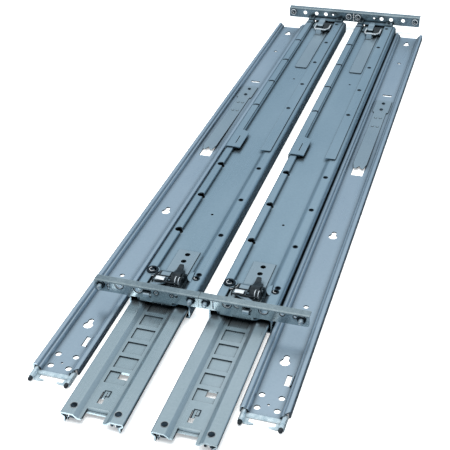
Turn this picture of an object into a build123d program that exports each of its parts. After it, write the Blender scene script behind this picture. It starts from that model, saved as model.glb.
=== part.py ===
from build123d import *
from math import atan2, tan
import os

# Sliding server rail pair, laid out on the floor: two telescopic slides with rack brackets, and the two
# loose rails that are screwed to a server's sides. Millimetres, +Z up, fronts towards -Y.
# The layout frame has x = 0 where the two slides' brackets meet and y = 0 at the front brackets' faces.

# Standard rack spacing
RACK_UNIT = 44.45
RACK_STEP = 15.875
RACK_CLOSE_STEP = 12.7
PEG_SPACING = 2 * RACK_UNIT - RACK_CLOSE_STEP

# Sheet thicknesses and clearances
RAIL_SHEET = 1.2
BRACKET_SHEET = 1.5
SPRING_SHEET = 0.8
GUIDE_SHEET = 1.0
CAGE_SHEET = 0.7
SLIDE_CLEAR = 0.15
PIN_CLEAR = 0.05
BALL_CLEAR = 0.05
SEAT_CLEAR = 0.05
OVERRUN = 2.0

# Outer rail, open side down
OUTER_WIDTH = 51.0
OUTER_HEIGHT = 14.0
RECESS_DEPTH = 3.0
OUTER_LENGTH = 643.5
LEFT_STRIP_WIDTH = 8.0
RIGHT_SLOPE_INNER = 12.4
RIGHT_SLOPE_OUTER = 16.4
RACE_LIP = 3.4
TIGHT_BEND = 0.8
SOFT_BEND = 3.4

# Ball races between the members
OUTER_BALL_RADIUS = 1.5
INNER_BALL_RADIUS = 1.0
RACE_FALL = 1.6
RACE_WALL_HEIGHT = 5.4

# Middle rail, drawn out of the outer rail
MIDDLE_LENGTH = 600.0
PULL_OUT = 130.0
MIDDLE_SIDE_GAP = 0.7
MIDDLE_TOP_GAP = 0.5
MIDDLE_CHANNEL_DEPTH = 2.8
MIDDLE_CHANNEL_WIDTH = 21.0
MIDDLE_SLOPE_RUN = 3.4
WINDOW_WIDTH = 15.8
WINDOW_LENGTH = 12.9
WINDOW_PITCH = 16.9
WINDOW_COUNT = 8
WINDOW_START = 38.6
WINDOW_SINK = 0.9
WINDOW_LAND = 0.6
NOTCH_WIDTH = 16.0
NOTCH_DEPTH = 12.2
END_RIVET_INSET = 8.6
END_RIVET_OUT = 16.6
END_RIVET_RADIUS = 2.3
CATCH_HOLE = 7.4
CATCH_HOLE_LENGTH = 6.3
LEVEL_HOLE_RADIUS = 2.0

# Plate riveted under the middle rail's front end
STOP_PLATE_LENGTH = 14.0
STOP_PLATE_INSET = 2.0
STOP_LIP_SETBACK = 6.5
STOP_WING_GAP = 1.2

# Ball cages
OUTER_CAGE_LENGTH = 140.0
OUTER_CAGE_START = 170.0
INNER_CAGE_LENGTH = 150.0
INNER_CAGE_INSET = 1.5
CAGE_HEIGHT = 3.6
CAGE_WINDOW_GAP = 0.15
BALLS_PER_ROW = 4

# Loose rail for the server's side, open side up
CHASSIS_WIDTH = 35.6
CHASSIS_HEIGHT = 6.5
CHASSIS_LENGTH = 729.0
CHASSIS_FRONT = -87.0
LIP_PLATEAU = 3.2
LIP_LEDGE = 1.5
LIP_LEDGE_DROP = 2.0
LIP_FOOT_RUN = 1.2
LIP_RISE_RUN = 0.7
KEYHOLE_RADIUS = 3.9
KEYHOLE_SLOT_RADIUS = 2.1
KEYHOLE_SLOT_LENGTH = 6.2
FOUR_HOLE_RADIUS = 2.4
FOUR_HOLE_ACROSS = 14.5
FOUR_HOLE_ALONG = 13.2
FOUR_HOLE_INSET = 6.8
CORNER_CUT = 5.0

# Spring lock on the loose rail
LOCK_REAR = 438.0
LOCK_WIDE_LENGTH = 32.0
LOCK_WIDE = 17.0
LOCK_LENGTH = 157.0
LOCK_WIDTH = 13.2
LOCK_RISE = 1.4
LOCK_BEND_SHARE = 0.45
LOCK_RIVET_RADIUS = 1.8
LOCK_RIVET_HEIGHT = 1.0
LOCK_BUMP_RADIUS = 1.5
LOCK_BUMP_HEIGHT = 0.7
LOCK_BUMP_SPREAD = 5.2
LOCK_WINDOW_WIDTH = 11.6
LOCK_WINDOW_LENGTH = 21.0
TONGUE_LENGTH = 10.0

# Formed guide and rubber buffers at the loose rail's front
GUIDE_REACH = 12.5
GUIDE_TAIL = 9.0
GUIDE_CROSS_WIDTH = 2.4
GUIDE_CROSS_GAP = 2.6
GUIDE_HEIGHT = 4.6
GUIDE_FOOT = 5.8
GUIDE_INSET = 2.4
BUFFER_RADIUS = 1.7
BUFFER_LENGTH = 4.0
BUFFER_BLOCK = 5.0

# Places of the slides
BRACKET_HALF_GAP = 0.2
PEG_EDGE = 5.95
SLIDE_OFFSET = 33.4
LEFT_CHASSIS_GAP = 4.2
RIGHT_CHASSIS_GAP = 0.4

# Front bracket
FRONT_TOP = 24.0
FRONT_BOTTOM = 13.7
FRONT_FLANGE = 7.0
FRONT_LEG = 29.0
LEG_SIDE_GAP = 1.4
CORNER_RADIUS = 2.0
BEND_RADIUS = 1.6
PEG_HEIGHT = 20.0
FRONT_PEG_RADIUS = 2.2
FRONT_PEG_REACH = 5.0
PEG_COLLAR_RADIUS = 3.1
PEG_COLLAR = 0.9
PEG_TAIL = 1.5

# Rear bracket
REAR_TOP = 26.0
REAR_BOTTOM = 13.0
REAR_FLANGE = 8.7
REAR_STANDOFF = 7.0
REAR_LEG = 29.0
REAR_WING = 12.0
REAR_PIN_RADIUS = 2.4
REAR_PIN_COLLAR_RADIUS = 4.0
REAR_PIN_REACH = 5.0
RACK_HOLE_RADIUS = 2.5
PILOT_HOLE_RADIUS = 1.25
PILOT_HOLE_STEP = 9.9

# Length-adjusting extension over the rear half
EXTENSION_LENGTH = 390.0
EXTENSION_LEFT_STRIP = 8.0
EXTENSION_WALL = 11.5
EXTENSION_RIGHT_INNER = 11.4
EXTENSION_RIGHT_STRIP = 10.0
EXTENSION_BRIDGE = 10.0
THUMB_TAB_WIDTH = 8.0
THUMB_TAB_LENGTH = 39.0
THUMB_SLIT = 0.9
THUMB_SLIT_LENGTH = 29.0
HOOK_SLOT_WIDTH = 4.6
HOOK_SLOT_LENGTH = 1.8
HOOK_PITCH = 66.6
HOOK_COUNT = 5
HOOK_REAR_INSET = 22.0

# Holes in the outer rail
MOON_RADIUS = 3.5
MOON_PITCH = 61.8
MOON_START = 102.4
MOON_COUNT = 3
DIMPLE_RADIUS = 1.8
RING_Y = 37.5
RING_HOLE_RADIUS = 3.7
RIVET_RADIUS = 2.0
RIVET_HEAD = 1.0
RIVET_FOOT_SHARE = 0.55
CENTRE_HOLE_RADIUS = 1.3

# Latches
LATCH_AXIS_Y = 31.0
LATCH_AXIS_RISE = 3.1
LATCH_PIN_RADIUS = 1.0
CHEEK_SHEET = 1.0
CHEEK_LENGTH = 19.0
CHEEK_HEIGHT = 5.2
LATCH_LEFT = -10.3
LATCH_WIDTH = 19.8
LATCH_BAR = 1.4
LATCH_BAR_HEIGHT = 0.8
LEVER_WIDTH = 7.4
LEVER_SIDE_GAP = 0.5
LEVER_FRONT = 7.6
LEVER_REAR = 10.0
LEVER_HEIGHT = 5.4
KNOB_LENGTH = 8.0
KNOB_WIDTH = 4.0
KNOB_HEIGHT = 2.4
HOOK_SHEET = 1.2
HOOK_WIDTH = 7.6
HOOK_NOSE_WIDTH = 5.0
HOOK_TAIL = 5.0
HOOK_REACH = 2.5
HOOK_RISE = 4.6
HOOK_CLAW = 2.0
LATCH_SPRING_WIDTH = 18.8
LATCH_SPRING_LENGTH = 42.0
LATCH_SPRING_END = 34.0
LATCH_SPRING_TAIL = 1.1
LATCH_SPRING_HOLE_RADIUS = 2.4
REAR_SPRING_WIDTH = 14.0
REAR_SPRING_LENGTH = 132.0
REAR_SPRING_END = 34.0

# Levels and places worked out from the sizes above
HALF_SHEET = RAIL_SHEET / 2
RECESS_TOP = OUTER_HEIGHT - RECESS_DEPTH
OUTER_INNER_WALL = OUTER_WIDTH / 2 - RAIL_SHEET
OUTER_REAR = BRACKET_SHEET + OUTER_LENGTH
REAR_FACE = OUTER_REAR + REAR_STANDOFF
EXTENSION_FRONT = REAR_FACE - EXTENSION_LENGTH
EXTENSION_TOP = OUTER_HEIGHT + SLIDE_CLEAR + RAIL_SHEET
EXTENSION_HALF_WIDTH = OUTER_WIDTH / 2 + SLIDE_CLEAR + RAIL_SHEET
MIDDLE_FRONT = -PULL_OUT
MIDDLE_TOP = RECESS_TOP - RAIL_SHEET - MIDDLE_TOP_GAP
MIDDLE_WIDTH = 2 * (OUTER_INNER_WALL - MIDDLE_SIDE_GAP)
MIDDLE_CHANNEL_TOP = MIDDLE_TOP - MIDDLE_CHANNEL_DEPTH
OUTER_BALL_X = OUTER_INNER_WALL - BALL_CLEAR - OUTER_BALL_RADIUS
MIDDLE_RACE_WIDTH = 2 * (OUTER_BALL_X - OUTER_BALL_RADIUS - BALL_CLEAR)
INNER_BALL_X = MIDDLE_RACE_WIDTH / 2 - RAIL_SHEET - BALL_CLEAR - INNER_BALL_RADIUS
BALL_Z = RAIL_SHEET + OUTER_BALL_RADIUS + 2 * BALL_CLEAR
CHASSIS_REAR = CHASSIS_FRONT + CHASSIS_LENGTH
BRACKET_LENGTH = PEG_SPACING + 2 * PEG_EDGE
LEFT_CHASSIS_X = -(SLIDE_OFFSET + EXTENSION_HALF_WIDTH + LEFT_CHASSIS_GAP + CHASSIS_WIDTH / 2)
RIGHT_CHASSIS_X = SLIDE_OFFSET + OUTER_WIDTH / 2 + RIGHT_CHASSIS_GAP + CHASSIS_WIDTH / 2
LEG_LEFT = -OUTER_WIDTH / 2 + LEFT_STRIP_WIDTH + LEG_SIDE_GAP
LEG_RIGHT = RIGHT_SLOPE_INNER - LEG_SIDE_GAP
LEG_TOP = RECESS_TOP + BRACKET_SHEET
REAR_LEG_LIFT = SLIDE_CLEAR
LEVER_LEFT = LATCH_LEFT + LATCH_WIDTH - CHEEK_SHEET - LEVER_SIDE_GAP - LEVER_WIDTH
SIDES = {"left": -1, "right": 1}

# The finished frame's origin lies under the middle of the whole layout
LAYOUT_MID_X = (LEFT_CHASSIS_X + RIGHT_CHASSIS_X) / 2
LAYOUT_MID_Y = (MIDDLE_FRONT + REAR_FACE + REAR_FLANGE) / 2


def block(x_from, x_to, y_from, y_to, z_from, z_to):
    """A block between two corners."""
    size = (x_to - x_from, y_to - y_from, z_to - z_from)
    middle = ((x_from + x_to) / 2, (y_from + y_to) / 2, (z_from + z_to) / 2)
    return Pos(*middle) * Box(*size)


def upright(x, y, z_from, z_to, radius):
    """A round bar standing on end."""
    return Pos(x, y, (z_from + z_to) / 2) * Cylinder(radius, z_to - z_from)


def lengthwise(x, z, y_from, y_to, radius):
    """A round bar lying along the rails."""
    return Pos(x, (y_from + y_to) / 2, z) * Rot(90, 0, 0) * Cylinder(radius, y_to - y_from)


def crosswise(y, z, x_from, x_to, radius):
    """A round bar lying across the rails."""
    return Pos((x_from + x_to) / 2, y, z) * Rot(0, 90, 0) * Cylinder(radius, x_to - x_from)


def run_along(section, y_from, y_to):
    """Runs a section, drawn in x and z, along the rails."""
    end = Plane((0, y_to, 0), x_dir=(1, 0, 0), z_dir=(0, -1, 0))
    return extrude(end * section, amount=y_to - y_from)


def run_across(section, x_from, x_to):
    """Runs a section, drawn in y and z, across the rails."""
    start = Plane((x_from, 0, 0), x_dir=(0, 1, 0), z_dir=(1, 0, 0))
    return extrude(start * section, amount=x_to - x_from)


def raise_up(section, z_from, z_to):
    """Raises an outline, drawn in x and y."""
    return extrude(Plane((0, 0, z_from)) * section, amount=z_to - z_from)


def bent_sheet(points, radii, thickness):
    """Section of a bent sheet that follows the given middle line."""
    return trace(FilletPolyline(*points, radius=radii), line_width=thickness)


def outline(*points):
    """A closed outline with straight edges."""
    return make_face(Polyline(*points, close=True))


def with_mirror(points):
    """Points of the right half, completed by their mirror image on the left."""
    return [(-x, z) for x, z in reversed(points)] + points


def outer_section():
    """Outer rail: curled lips, a stepped left strip and a soft right shoulder."""
    wall = OUTER_WIDTH / 2 - HALF_SHEET
    top = OUTER_HEIGHT - HALF_SHEET
    web = RECESS_TOP - HALF_SHEET
    step = -OUTER_WIDTH / 2 + LEFT_STRIP_WIDTH - HALF_SHEET
    points = [
        (-wall + RACE_LIP, HALF_SHEET),
        (-wall, HALF_SHEET),
        (-wall, top),
        (step, top),
        (step, web),
        (RIGHT_SLOPE_INNER, web),
        (RIGHT_SLOPE_OUTER, top),
        (wall, top),
        (wall, HALF_SHEET),
        (wall - RACE_LIP, HALF_SHEET),
    ]
    tight = TIGHT_BEND
    radii = [tight, RACE_FALL, tight, tight, SOFT_BEND, SOFT_BEND, SOFT_BEND, tight]
    return bent_sheet(points, radii, RAIL_SHEET)


def moon_places():
    """Half-moon holes along the front half of the outer rail."""
    return [MOON_START + MOON_PITCH * step for step in range(MOON_COUNT)]


def hook_places():
    """Hook slots along the rear half, counted from the rear face."""
    return [REAR_FACE - HOOK_REAR_INSET - HOOK_PITCH * step for step in range(HOOK_COUNT)]


def outer_rail():
    """Outer rail with its row holes, latch openings and the slit that holds the latch spring."""
    rail = run_along(outer_section(), BRACKET_SHEET, OUTER_REAR)
    low = RECESS_TOP - RAIL_SHEET - OVERRUN / 4
    high = OUTER_HEIGHT + OVERRUN
    strip_edge = -OUTER_WIDTH / 2 + LEFT_STRIP_WIDTH
    shoulder = (RIGHT_SLOPE_OUTER + OUTER_WIDTH / 2) / 2 - SOFT_BEND + DIMPLE_RADIUS
    moons = [upright(strip_edge - OVERRUN, y, low, high, MOON_RADIUS) for y in moon_places()]
    dimples = [upright(shoulder, y, low, high, DIMPLE_RADIUS) for y in moon_places()]
    pair = [
        upright(shoulder, RING_Y - DIMPLE_RADIUS, low, high, DIMPLE_RADIUS + HALF_SHEET),
        upright(shoulder + HALF_SHEET, RING_Y + RING_HOLE_RADIUS, low, high, DIMPLE_RADIUS),
    ]
    ring = upright(strip_edge - OVERRUN, RING_Y, low, high, RING_HOLE_RADIUS)
    centres = [upright(0, y, low, high, CENTRE_HOLE_RADIUS) for y in centre_hole_places()]
    spring_holes = [upright(0, y, low, high, LATCH_SPRING_HOLE_RADIUS) for y in spring_hole_places()]
    slit_front = LATCH_SPRING_END + LATCH_SPRING_LENGTH - SPRING_SHEET - SEAT_CLEAR
    slit = block(
        -LATCH_SPRING_WIDTH / 2 - SEAT_CLEAR,
        LATCH_SPRING_WIDTH / 2 + SEAT_CLEAR,
        slit_front,
        slit_front + SPRING_SHEET + 2 * SEAT_CLEAR,
        low,
        high,
    )
    return rail - moons - dimples - pair - ring - centres - spring_holes - slit


def centre_hole_places():
    """Two small holes on the centre line, by share of the rail's length."""
    hole_shares = (0.211, 0.70)
    return [BRACKET_SHEET + OUTER_LENGTH * share for share in hole_shares]


def spring_hole_places():
    """Two holes through the latch spring and the web under it, by share of the spring's length."""
    hole_shares = (0.60, 0.84)
    return [LATCH_SPRING_END + LATCH_SPRING_LENGTH * share for share in hole_shares]


def middle_section():
    """Middle rail: sunk channel, side flanges and pinched walls that form the ball races."""
    edge = MIDDLE_WIDTH / 2 - HALF_SHEET
    race = MIDDLE_RACE_WIDTH / 2 - HALF_SHEET
    top = MIDDLE_TOP - HALF_SHEET
    channel = MIDDLE_CHANNEL_TOP - HALF_SHEET
    foot = MIDDLE_CHANNEL_WIDTH / 2
    half = [
        (foot, channel),
        (foot + MIDDLE_SLOPE_RUN, top),
        (edge, top),
        (edge, RACE_WALL_HEIGHT + RACE_FALL),
        (race, RACE_WALL_HEIGHT),
        (race, RAIL_SHEET),
    ]
    radii_half = [TIGHT_BEND, TIGHT_BEND, TIGHT_BEND, TIGHT_BEND, TIGHT_BEND]
    return bent_sheet(with_mirror(half), radii_half[::-1] + radii_half, RAIL_SHEET)


def window_places():
    """Front edges of the pressed windows along the middle rail."""
    return [MIDDLE_FRONT + WINDOW_START + WINDOW_PITCH * step for step in range(WINDOW_COUNT)]


def middle_rail():
    """Middle rail with its ladder of pressed windows, front notch and catch holes."""
    rail = run_along(middle_section(), MIDDLE_FRONT, MIDDLE_FRONT + MIDDLE_LENGTH)
    half = WINDOW_WIDTH / 2
    sunk = MIDDLE_CHANNEL_TOP - WINDOW_SINK
    high = MIDDLE_TOP + OVERRUN
    low = sunk - RAIL_SHEET - OVERRUN / 4
    for y in window_places():
        rail -= block(-half, half, y, y + WINDOW_LENGTH, sunk, high)
        rail += block(
            -half - WINDOW_LAND,
            half + WINDOW_LAND,
            y - WINDOW_LAND,
            y + WINDOW_LENGTH + WINDOW_LAND,
            sunk - RAIL_SHEET,
            sunk,
        )
    notch_back = MIDDLE_FRONT + NOTCH_DEPTH
    rail -= block(-NOTCH_WIDTH / 2, NOTCH_WIDTH / 2, MIDDLE_FRONT - OVERRUN, notch_back, low, high)
    catch_x = half - WINDOW_LAND - CATCH_HOLE
    catch_y = MIDDLE_FRONT + WINDOW_START + WINDOW_LENGTH - CATCH_HOLE_LENGTH
    rail -= block(catch_x, catch_x + CATCH_HOLE, catch_y, catch_y + CATCH_HOLE_LENGTH, low, high)
    level_y = window_places()[-2] + WINDOW_LENGTH / 2
    rail -= upright(half / 2, level_y, low, high, LEVEL_HOLE_RADIUS)
    slot_y = MIDDLE_FRONT + (NOTCH_DEPTH + WINDOW_START) / 2
    rail -= block(-half / 2, 0, slot_y - half, slot_y + half / 2, low, high)
    rail += block(-half / 2 + RAIL_SHEET, -OVERRUN / 4, slot_y - half / 3, slot_y + half / 2, sunk, MIDDLE_CHANNEL_TOP)
    for side in SIDES.values():
        rivet_y = MIDDLE_FRONT + END_RIVET_INSET
        rail -= upright(side * END_RIVET_OUT, rivet_y, low, high, END_RIVET_RADIUS / 2 + PIN_CLEAR)
    return rail


def stop_plate():
    """Plate that lies against the middle rail's underside, riveted to both flanges at the front end."""
    drop = RAIL_SHEET + SEAT_CLEAR
    slope = atan2(MIDDLE_CHANNEL_DEPTH, MIDDLE_SLOPE_RUN)
    foot = MIDDLE_CHANNEL_WIDTH / 2 + drop * tan(slope / 2)
    top = MIDDLE_TOP - HALF_SHEET - drop
    channel = MIDDLE_CHANNEL_TOP - HALF_SHEET - drop
    reach = MIDDLE_RACE_WIDTH / 2 - RAIL_SHEET - STOP_WING_GAP
    half = [(foot, channel), (foot + MIDDLE_SLOPE_RUN, top), (reach, top)]
    radii = [TIGHT_BEND, TIGHT_BEND, TIGHT_BEND, TIGHT_BEND]
    front = MIDDLE_FRONT + STOP_PLATE_INSET
    plate = run_along(bent_sheet(with_mirror(half), radii, RAIL_SHEET), front, front + STOP_PLATE_LENGTH)
    notch_half = NOTCH_WIDTH / 2
    plate -= block(-notch_half, notch_half, front - OVERRUN, front + STOP_LIP_SETBACK, 0, MIDDLE_TOP)
    for side in SIDES.values():
        rivet_y = MIDDLE_FRONT + END_RIVET_INSET
        plate -= upright(side * END_RIVET_OUT, rivet_y, 0, MIDDLE_TOP, END_RIVET_RADIUS / 2 + PIN_CLEAR)
    return plate


def headed_rivet(x, y, z_low, z_high, radius, head):
    """A rivet whose low domed head sits on the upper face and whose foot is spread below."""
    shank = upright(x, y, z_low, z_high, radius / 2)
    dome = upright(x, y, z_high, z_high + head, radius)
    dome = chamfer(dome.edges().sort_by(Axis.Z)[-1], head / 2)
    foot = upright(x, y, z_low - head / 2, z_low, radius * RIVET_FOOT_SHARE)
    return shank + dome + foot


def middle_rivets():
    """The pair of dark rivets at the middle rail's front end."""
    rivet_y = MIDDLE_FRONT + END_RIVET_INSET
    low = MIDDLE_TOP - 2 * RAIL_SHEET - SEAT_CLEAR
    return [
        headed_rivet(side * END_RIVET_OUT, rivet_y, low, MIDDLE_TOP, END_RIVET_RADIUS, PEG_COLLAR / 2)
        for side in SIDES.values()
    ]


def ball_rows(ball_x, first_y, length):
    """Places of the balls in a cage's two rows."""
    pitch = length / BALLS_PER_ROW
    rows = range(BALLS_PER_ROW)
    return [(side * ball_x, first_y + pitch * (row + 0.5)) for side in SIDES.values() for row in rows]


def cage(ball_x, ball_radius, first_y, length):
    """Two punched strips that keep the balls apart."""
    strips = []
    half = CAGE_SHEET / 2
    for side in SIDES.values():
        middle = side * ball_x
        z_low = RAIL_SHEET + SLIDE_CLEAR
        strip = block(middle - half, middle + half, first_y, first_y + length, z_low, z_low + CAGE_HEIGHT)
        for x, y in ball_rows(ball_x, first_y, length):
            if x * side > 0:
                hole = crosswise(y, BALL_Z, x - OVERRUN, x + OVERRUN, ball_radius + CAGE_WINDOW_GAP)
                strip -= hole
        strips.append(strip)
    return strips


def balls(ball_x, ball_radius, first_y, length):
    """The steel balls of one cage."""
    return [Pos(x, y, BALL_Z) * Sphere(ball_radius) for x, y in ball_rows(ball_x, first_y, length)]


def outer_cage():
    """Cage between the outer and the middle rail."""
    return cage(OUTER_BALL_X, OUTER_BALL_RADIUS, OUTER_CAGE_START, OUTER_CAGE_LENGTH)


def outer_balls():
    """Balls between the outer and the middle rail."""
    return balls(OUTER_BALL_X, OUTER_BALL_RADIUS, OUTER_CAGE_START, OUTER_CAGE_LENGTH)


def inner_cage():
    """Cage strips inside the middle rail."""
    return cage(INNER_BALL_X, INNER_BALL_RADIUS, MIDDLE_FRONT + INNER_CAGE_INSET, INNER_CAGE_LENGTH)


def inner_balls():
    """Balls that the server's own rail runs on."""
    front = MIDDLE_FRONT + INNER_CAGE_INSET
    return balls(INNER_BALL_X, INNER_BALL_RADIUS, front, INNER_CAGE_LENGTH)


def extension():
    """Rear extension: a wrapped left strip and a right strip, tied together at the rear."""
    level = EXTENSION_TOP - HALF_SHEET
    wall = -EXTENSION_HALF_WIDTH + HALF_SHEET
    strip_inner = -EXTENSION_HALF_WIDTH + EXTENSION_LEFT_STRIP
    left_line = [(wall, EXTENSION_TOP - EXTENSION_WALL), (wall, level), (strip_inner, level)]
    left = run_along(bent_sheet(left_line, [RACE_FALL], RAIL_SHEET), EXTENSION_FRONT, REAR_FACE)
    right_outer = EXTENSION_RIGHT_INNER + EXTENSION_RIGHT_STRIP
    low = EXTENSION_TOP - RAIL_SHEET
    right = block(EXTENSION_RIGHT_INNER, right_outer, EXTENSION_FRONT, REAR_FACE, low, EXTENSION_TOP)
    right = fillet(right.edges().filter_by(Axis.Y).sort_by(Axis.X)[-1:].sort_by(Axis.Z)[-1:], HALF_SHEET)
    bridge_front = REAR_FACE - EXTENSION_BRIDGE
    bridge = block(strip_inner - OVERRUN, right_outer - OVERRUN, bridge_front, REAR_FACE, low, EXTENSION_TOP)
    body = left + right + bridge + thumb_tab(strip_inner, low)
    slot_x = strip_inner - HOOK_SLOT_WIDTH / 2
    for y in hook_places():
        body -= block(
            slot_x - HOOK_SLOT_WIDTH / 2,
            slot_x + HOOK_SLOT_WIDTH / 2 + OVERRUN,
            y - HOOK_SLOT_LENGTH / 2,
            y + HOOK_SLOT_LENGTH / 2,
            low - OVERRUN / 4,
            EXTENSION_TOP + OVERRUN,
        )
        body -= upright(EXTENSION_RIGHT_INNER + 2 * DIMPLE_RADIUS, y, low, EXTENSION_TOP + OVERRUN, DIMPLE_RADIUS)
    return body


def thumb_tab(strip_inner, low):
    """Tab at the extension's front end, with a slit that makes it springy."""
    inner = strip_inner + THUMB_TAB_WIDTH
    rear = EXTENSION_FRONT + THUMB_TAB_LENGTH
    shape = outline(
        (strip_inner - OVERRUN, EXTENSION_FRONT),
        (inner, EXTENSION_FRONT),
        (inner, rear - THUMB_TAB_WIDTH / 2),
        (strip_inner, rear),
        (strip_inner - OVERRUN, rear),
    )
    tab = raise_up(shape, low, EXTENSION_TOP)
    slit_y = rear - THUMB_SLIT_LENGTH / 2
    slit_x = strip_inner + THUMB_SLIT
    slit = block(slit_x, slit_x + THUMB_SLIT, EXTENSION_FRONT + THUMB_TAB_WIDTH, slit_y, low, EXTENSION_TOP)
    return tab - slit


def bracket_face(side, z_bottom, z_top, y_front):
    """Upright plate of a rack bracket, rounded at its outer end."""
    inner = side * BRACKET_HALF_GAP
    outer = side * (BRACKET_HALF_GAP + BRACKET_LENGTH)
    x_from, x_to = min(inner, outer), max(inner, outer)
    plate = block(x_from, x_to, y_front, y_front + BRACKET_SHEET, z_bottom, z_top)
    corners = plate.edges().filter_by(Axis.Y).sort_by(Axis.X)
    outer_corners = corners[-2:] if side > 0 else corners[:2]
    return fillet(outer_corners.sort_by(Axis.Z)[:1], CORNER_RADIUS)


def half_disc(x, z, radius, y_front):
    """Cutter for a half-round hole below a flange."""
    disc = lengthwise(x, z, y_front - OVERRUN, y_front + BRACKET_SHEET + OVERRUN, radius)
    return disc - block(
        x - radius, x + radius, y_front - 2 * OVERRUN, y_front + BRACKET_SHEET + 2 * OVERRUN, z, z + radius
    )


def peg_xs(side):
    """The two places of a bracket's rack pegs."""
    near = BRACKET_HALF_GAP + PEG_EDGE
    return [side * near, side * (near + PEG_SPACING)]


def front_bracket(side):
    """Front rack bracket: face, top flange, and a leg that lies in the outer rail's recess."""
    face = bracket_face(side, FRONT_BOTTOM, FRONT_TOP, 0)
    inner = side * BRACKET_HALF_GAP
    outer = side * (BRACKET_HALF_GAP + BRACKET_LENGTH)
    x_from, x_to = min(inner, outer), max(inner, outer)
    flange = block(x_from, x_to, 0, FRONT_FLANGE, FRONT_TOP - BRACKET_SHEET, FRONT_TOP)
    body = face + flange
    body = fillet(body.edges().filter_by(Axis.X).filter_by_position(Axis.Z, FRONT_TOP, FRONT_TOP)
                  .sort_by(Axis.Y)[:1], BEND_RADIUS)
    slide_x = side * SLIDE_OFFSET
    leg_left = slide_x + LEG_LEFT
    leg_right = slide_x + LEG_RIGHT
    body += block(leg_left, leg_right, 0, FRONT_LEG, RECESS_TOP, LEG_TOP)
    body += block(leg_left, leg_right, 0, BRACKET_SHEET, RECESS_TOP, FRONT_BOTTOM + OVERRUN)
    ear_out = slide_x - OUTER_WIDTH / 2 + LEFT_STRIP_WIDTH - OVERRUN - RIVET_RADIUS
    ear_half = RING_HOLE_RADIUS * 0.72
    body += block(leg_left, leg_left + 2 * RIVET_RADIUS, FRONT_LEG, RING_Y + ear_half, RECESS_TOP, LEG_TOP)
    body += block(ear_out, leg_left + OVERRUN / 2, RING_Y - ear_half, RING_Y + ear_half, RECESS_TOP, LEG_TOP)
    for x in peg_xs(side):
        body -= lengthwise(x, PEG_HEIGHT, -OVERRUN, BRACKET_SHEET, PEG_COLLAR_RADIUS + PIN_CLEAR)
    return body - front_openings(side)


def front_openings(side):
    """Slots, holes and the hook opening of a front bracket, set out from the bracket's inner end."""
    cuts = []
    through = BRACKET_SHEET + OVERRUN
    flange_low = FRONT_TOP - BRACKET_SHEET
    slot_height = FRONT_TOP - FRONT_BOTTOM - 2 * BRACKET_SHEET
    inner_end = BRACKET_HALF_GAP
    slot_half = RAIL_SHEET / 2
    near_slot = side * (inner_end + 2 * PEG_EDGE)
    far_slot = side * (inner_end + BRACKET_LENGTH - 2 * PEG_EDGE)
    slot_x = near_slot if side > 0 else far_slot
    slot_low = FRONT_BOTTOM + BRACKET_SHEET
    cuts.append(block(slot_x - slot_half, slot_x + slot_half, -OVERRUN, through, slot_low, slot_low + slot_height))
    small_share = (0.875, 0.76) if side > 0 else (0.25, 0.205)
    for share in small_share:
        hole_x = side * (inner_end + BRACKET_LENGTH * share)
        cuts.append(lengthwise(hole_x, PEG_HEIGHT + RIVET_HEAD, -OVERRUN, through, RIVET_RADIUS * 0.75))
    round_share = (0.262, 0.592) if side > 0 else (0.752,)
    for share in round_share:
        round_x = side * (inner_end + BRACKET_LENGTH * share)
        cuts.append(half_disc(round_x, flange_low - OVERRUN / 4, MOON_RADIUS, 0))
    hook_x = hook_middle(side)
    hook_half = HOOK_NOSE_WIDTH / 2 + RIVET_HEAD
    hook_low = PEG_HEIGHT - HOOK_RISE
    cuts.append(block(hook_x - hook_half, hook_x + hook_half, -OVERRUN, through, hook_low, flange_low))
    if side < 0:
        wing_x = hook_x - hook_half - MOON_RADIUS
        cuts.append(block(wing_x - MOON_RADIUS, wing_x, -OVERRUN, through, PEG_HEIGHT - OVERRUN, flange_low))
    return cuts


def hook_middle(side):
    """Middle of the hook's nose, across, in the layout frame."""
    left_reach = side * SLIDE_OFFSET + LATCH_LEFT + CHEEK_SHEET
    right_reach = side * SLIDE_OFFSET + LEVER_LEFT + LEVER_WIDTH
    return left_reach if side < 0 else right_reach - HOOK_NOSE_WIDTH / 2


def pegs(side):
    """Front rack pegs: a collar that fills the face's hole, a rounded nose, and a riveted tail."""
    result = []
    for x in peg_xs(side):
        shank = lengthwise(x, PEG_HEIGHT, -FRONT_PEG_REACH, BRACKET_SHEET + PEG_TAIL, FRONT_PEG_RADIUS)
        shank = fillet(shank.edges().sort_by(Axis.Y)[0], FRONT_PEG_RADIUS / 2)
        result.append(shank + lengthwise(x, PEG_HEIGHT, -PEG_COLLAR, BRACKET_SHEET, PEG_COLLAR_RADIUS))
    return result


def front_rivets():
    """Ring rivet on the bracket's ear, and two that hold its leg down."""
    ear_x = -OUTER_WIDTH / 2 + LEFT_STRIP_WIDTH - OVERRUN
    ring = upright(ear_x, RING_Y, LEG_TOP, OUTER_HEIGHT + RIVET_HEAD, RIVET_RADIUS)
    ring = chamfer(ring.edges().sort_by(Axis.Z)[-1], RIVET_HEAD / 2)
    leg_y = FRONT_LEG / 3
    heads = [ring]
    for x in (LEG_LEFT + 2 * RIVET_RADIUS, LEG_RIGHT - 2 * RIVET_RADIUS):
        head = upright(x, leg_y, LEG_TOP, LEG_TOP + RIVET_HEAD, RIVET_RADIUS)
        heads.append(chamfer(head.edges().sort_by(Axis.Z)[-1], RIVET_HEAD / 2))
    return heads


def latch_level(lift):
    """Height of the surface that a latch frame stands on."""
    return LEG_TOP + lift


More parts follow.
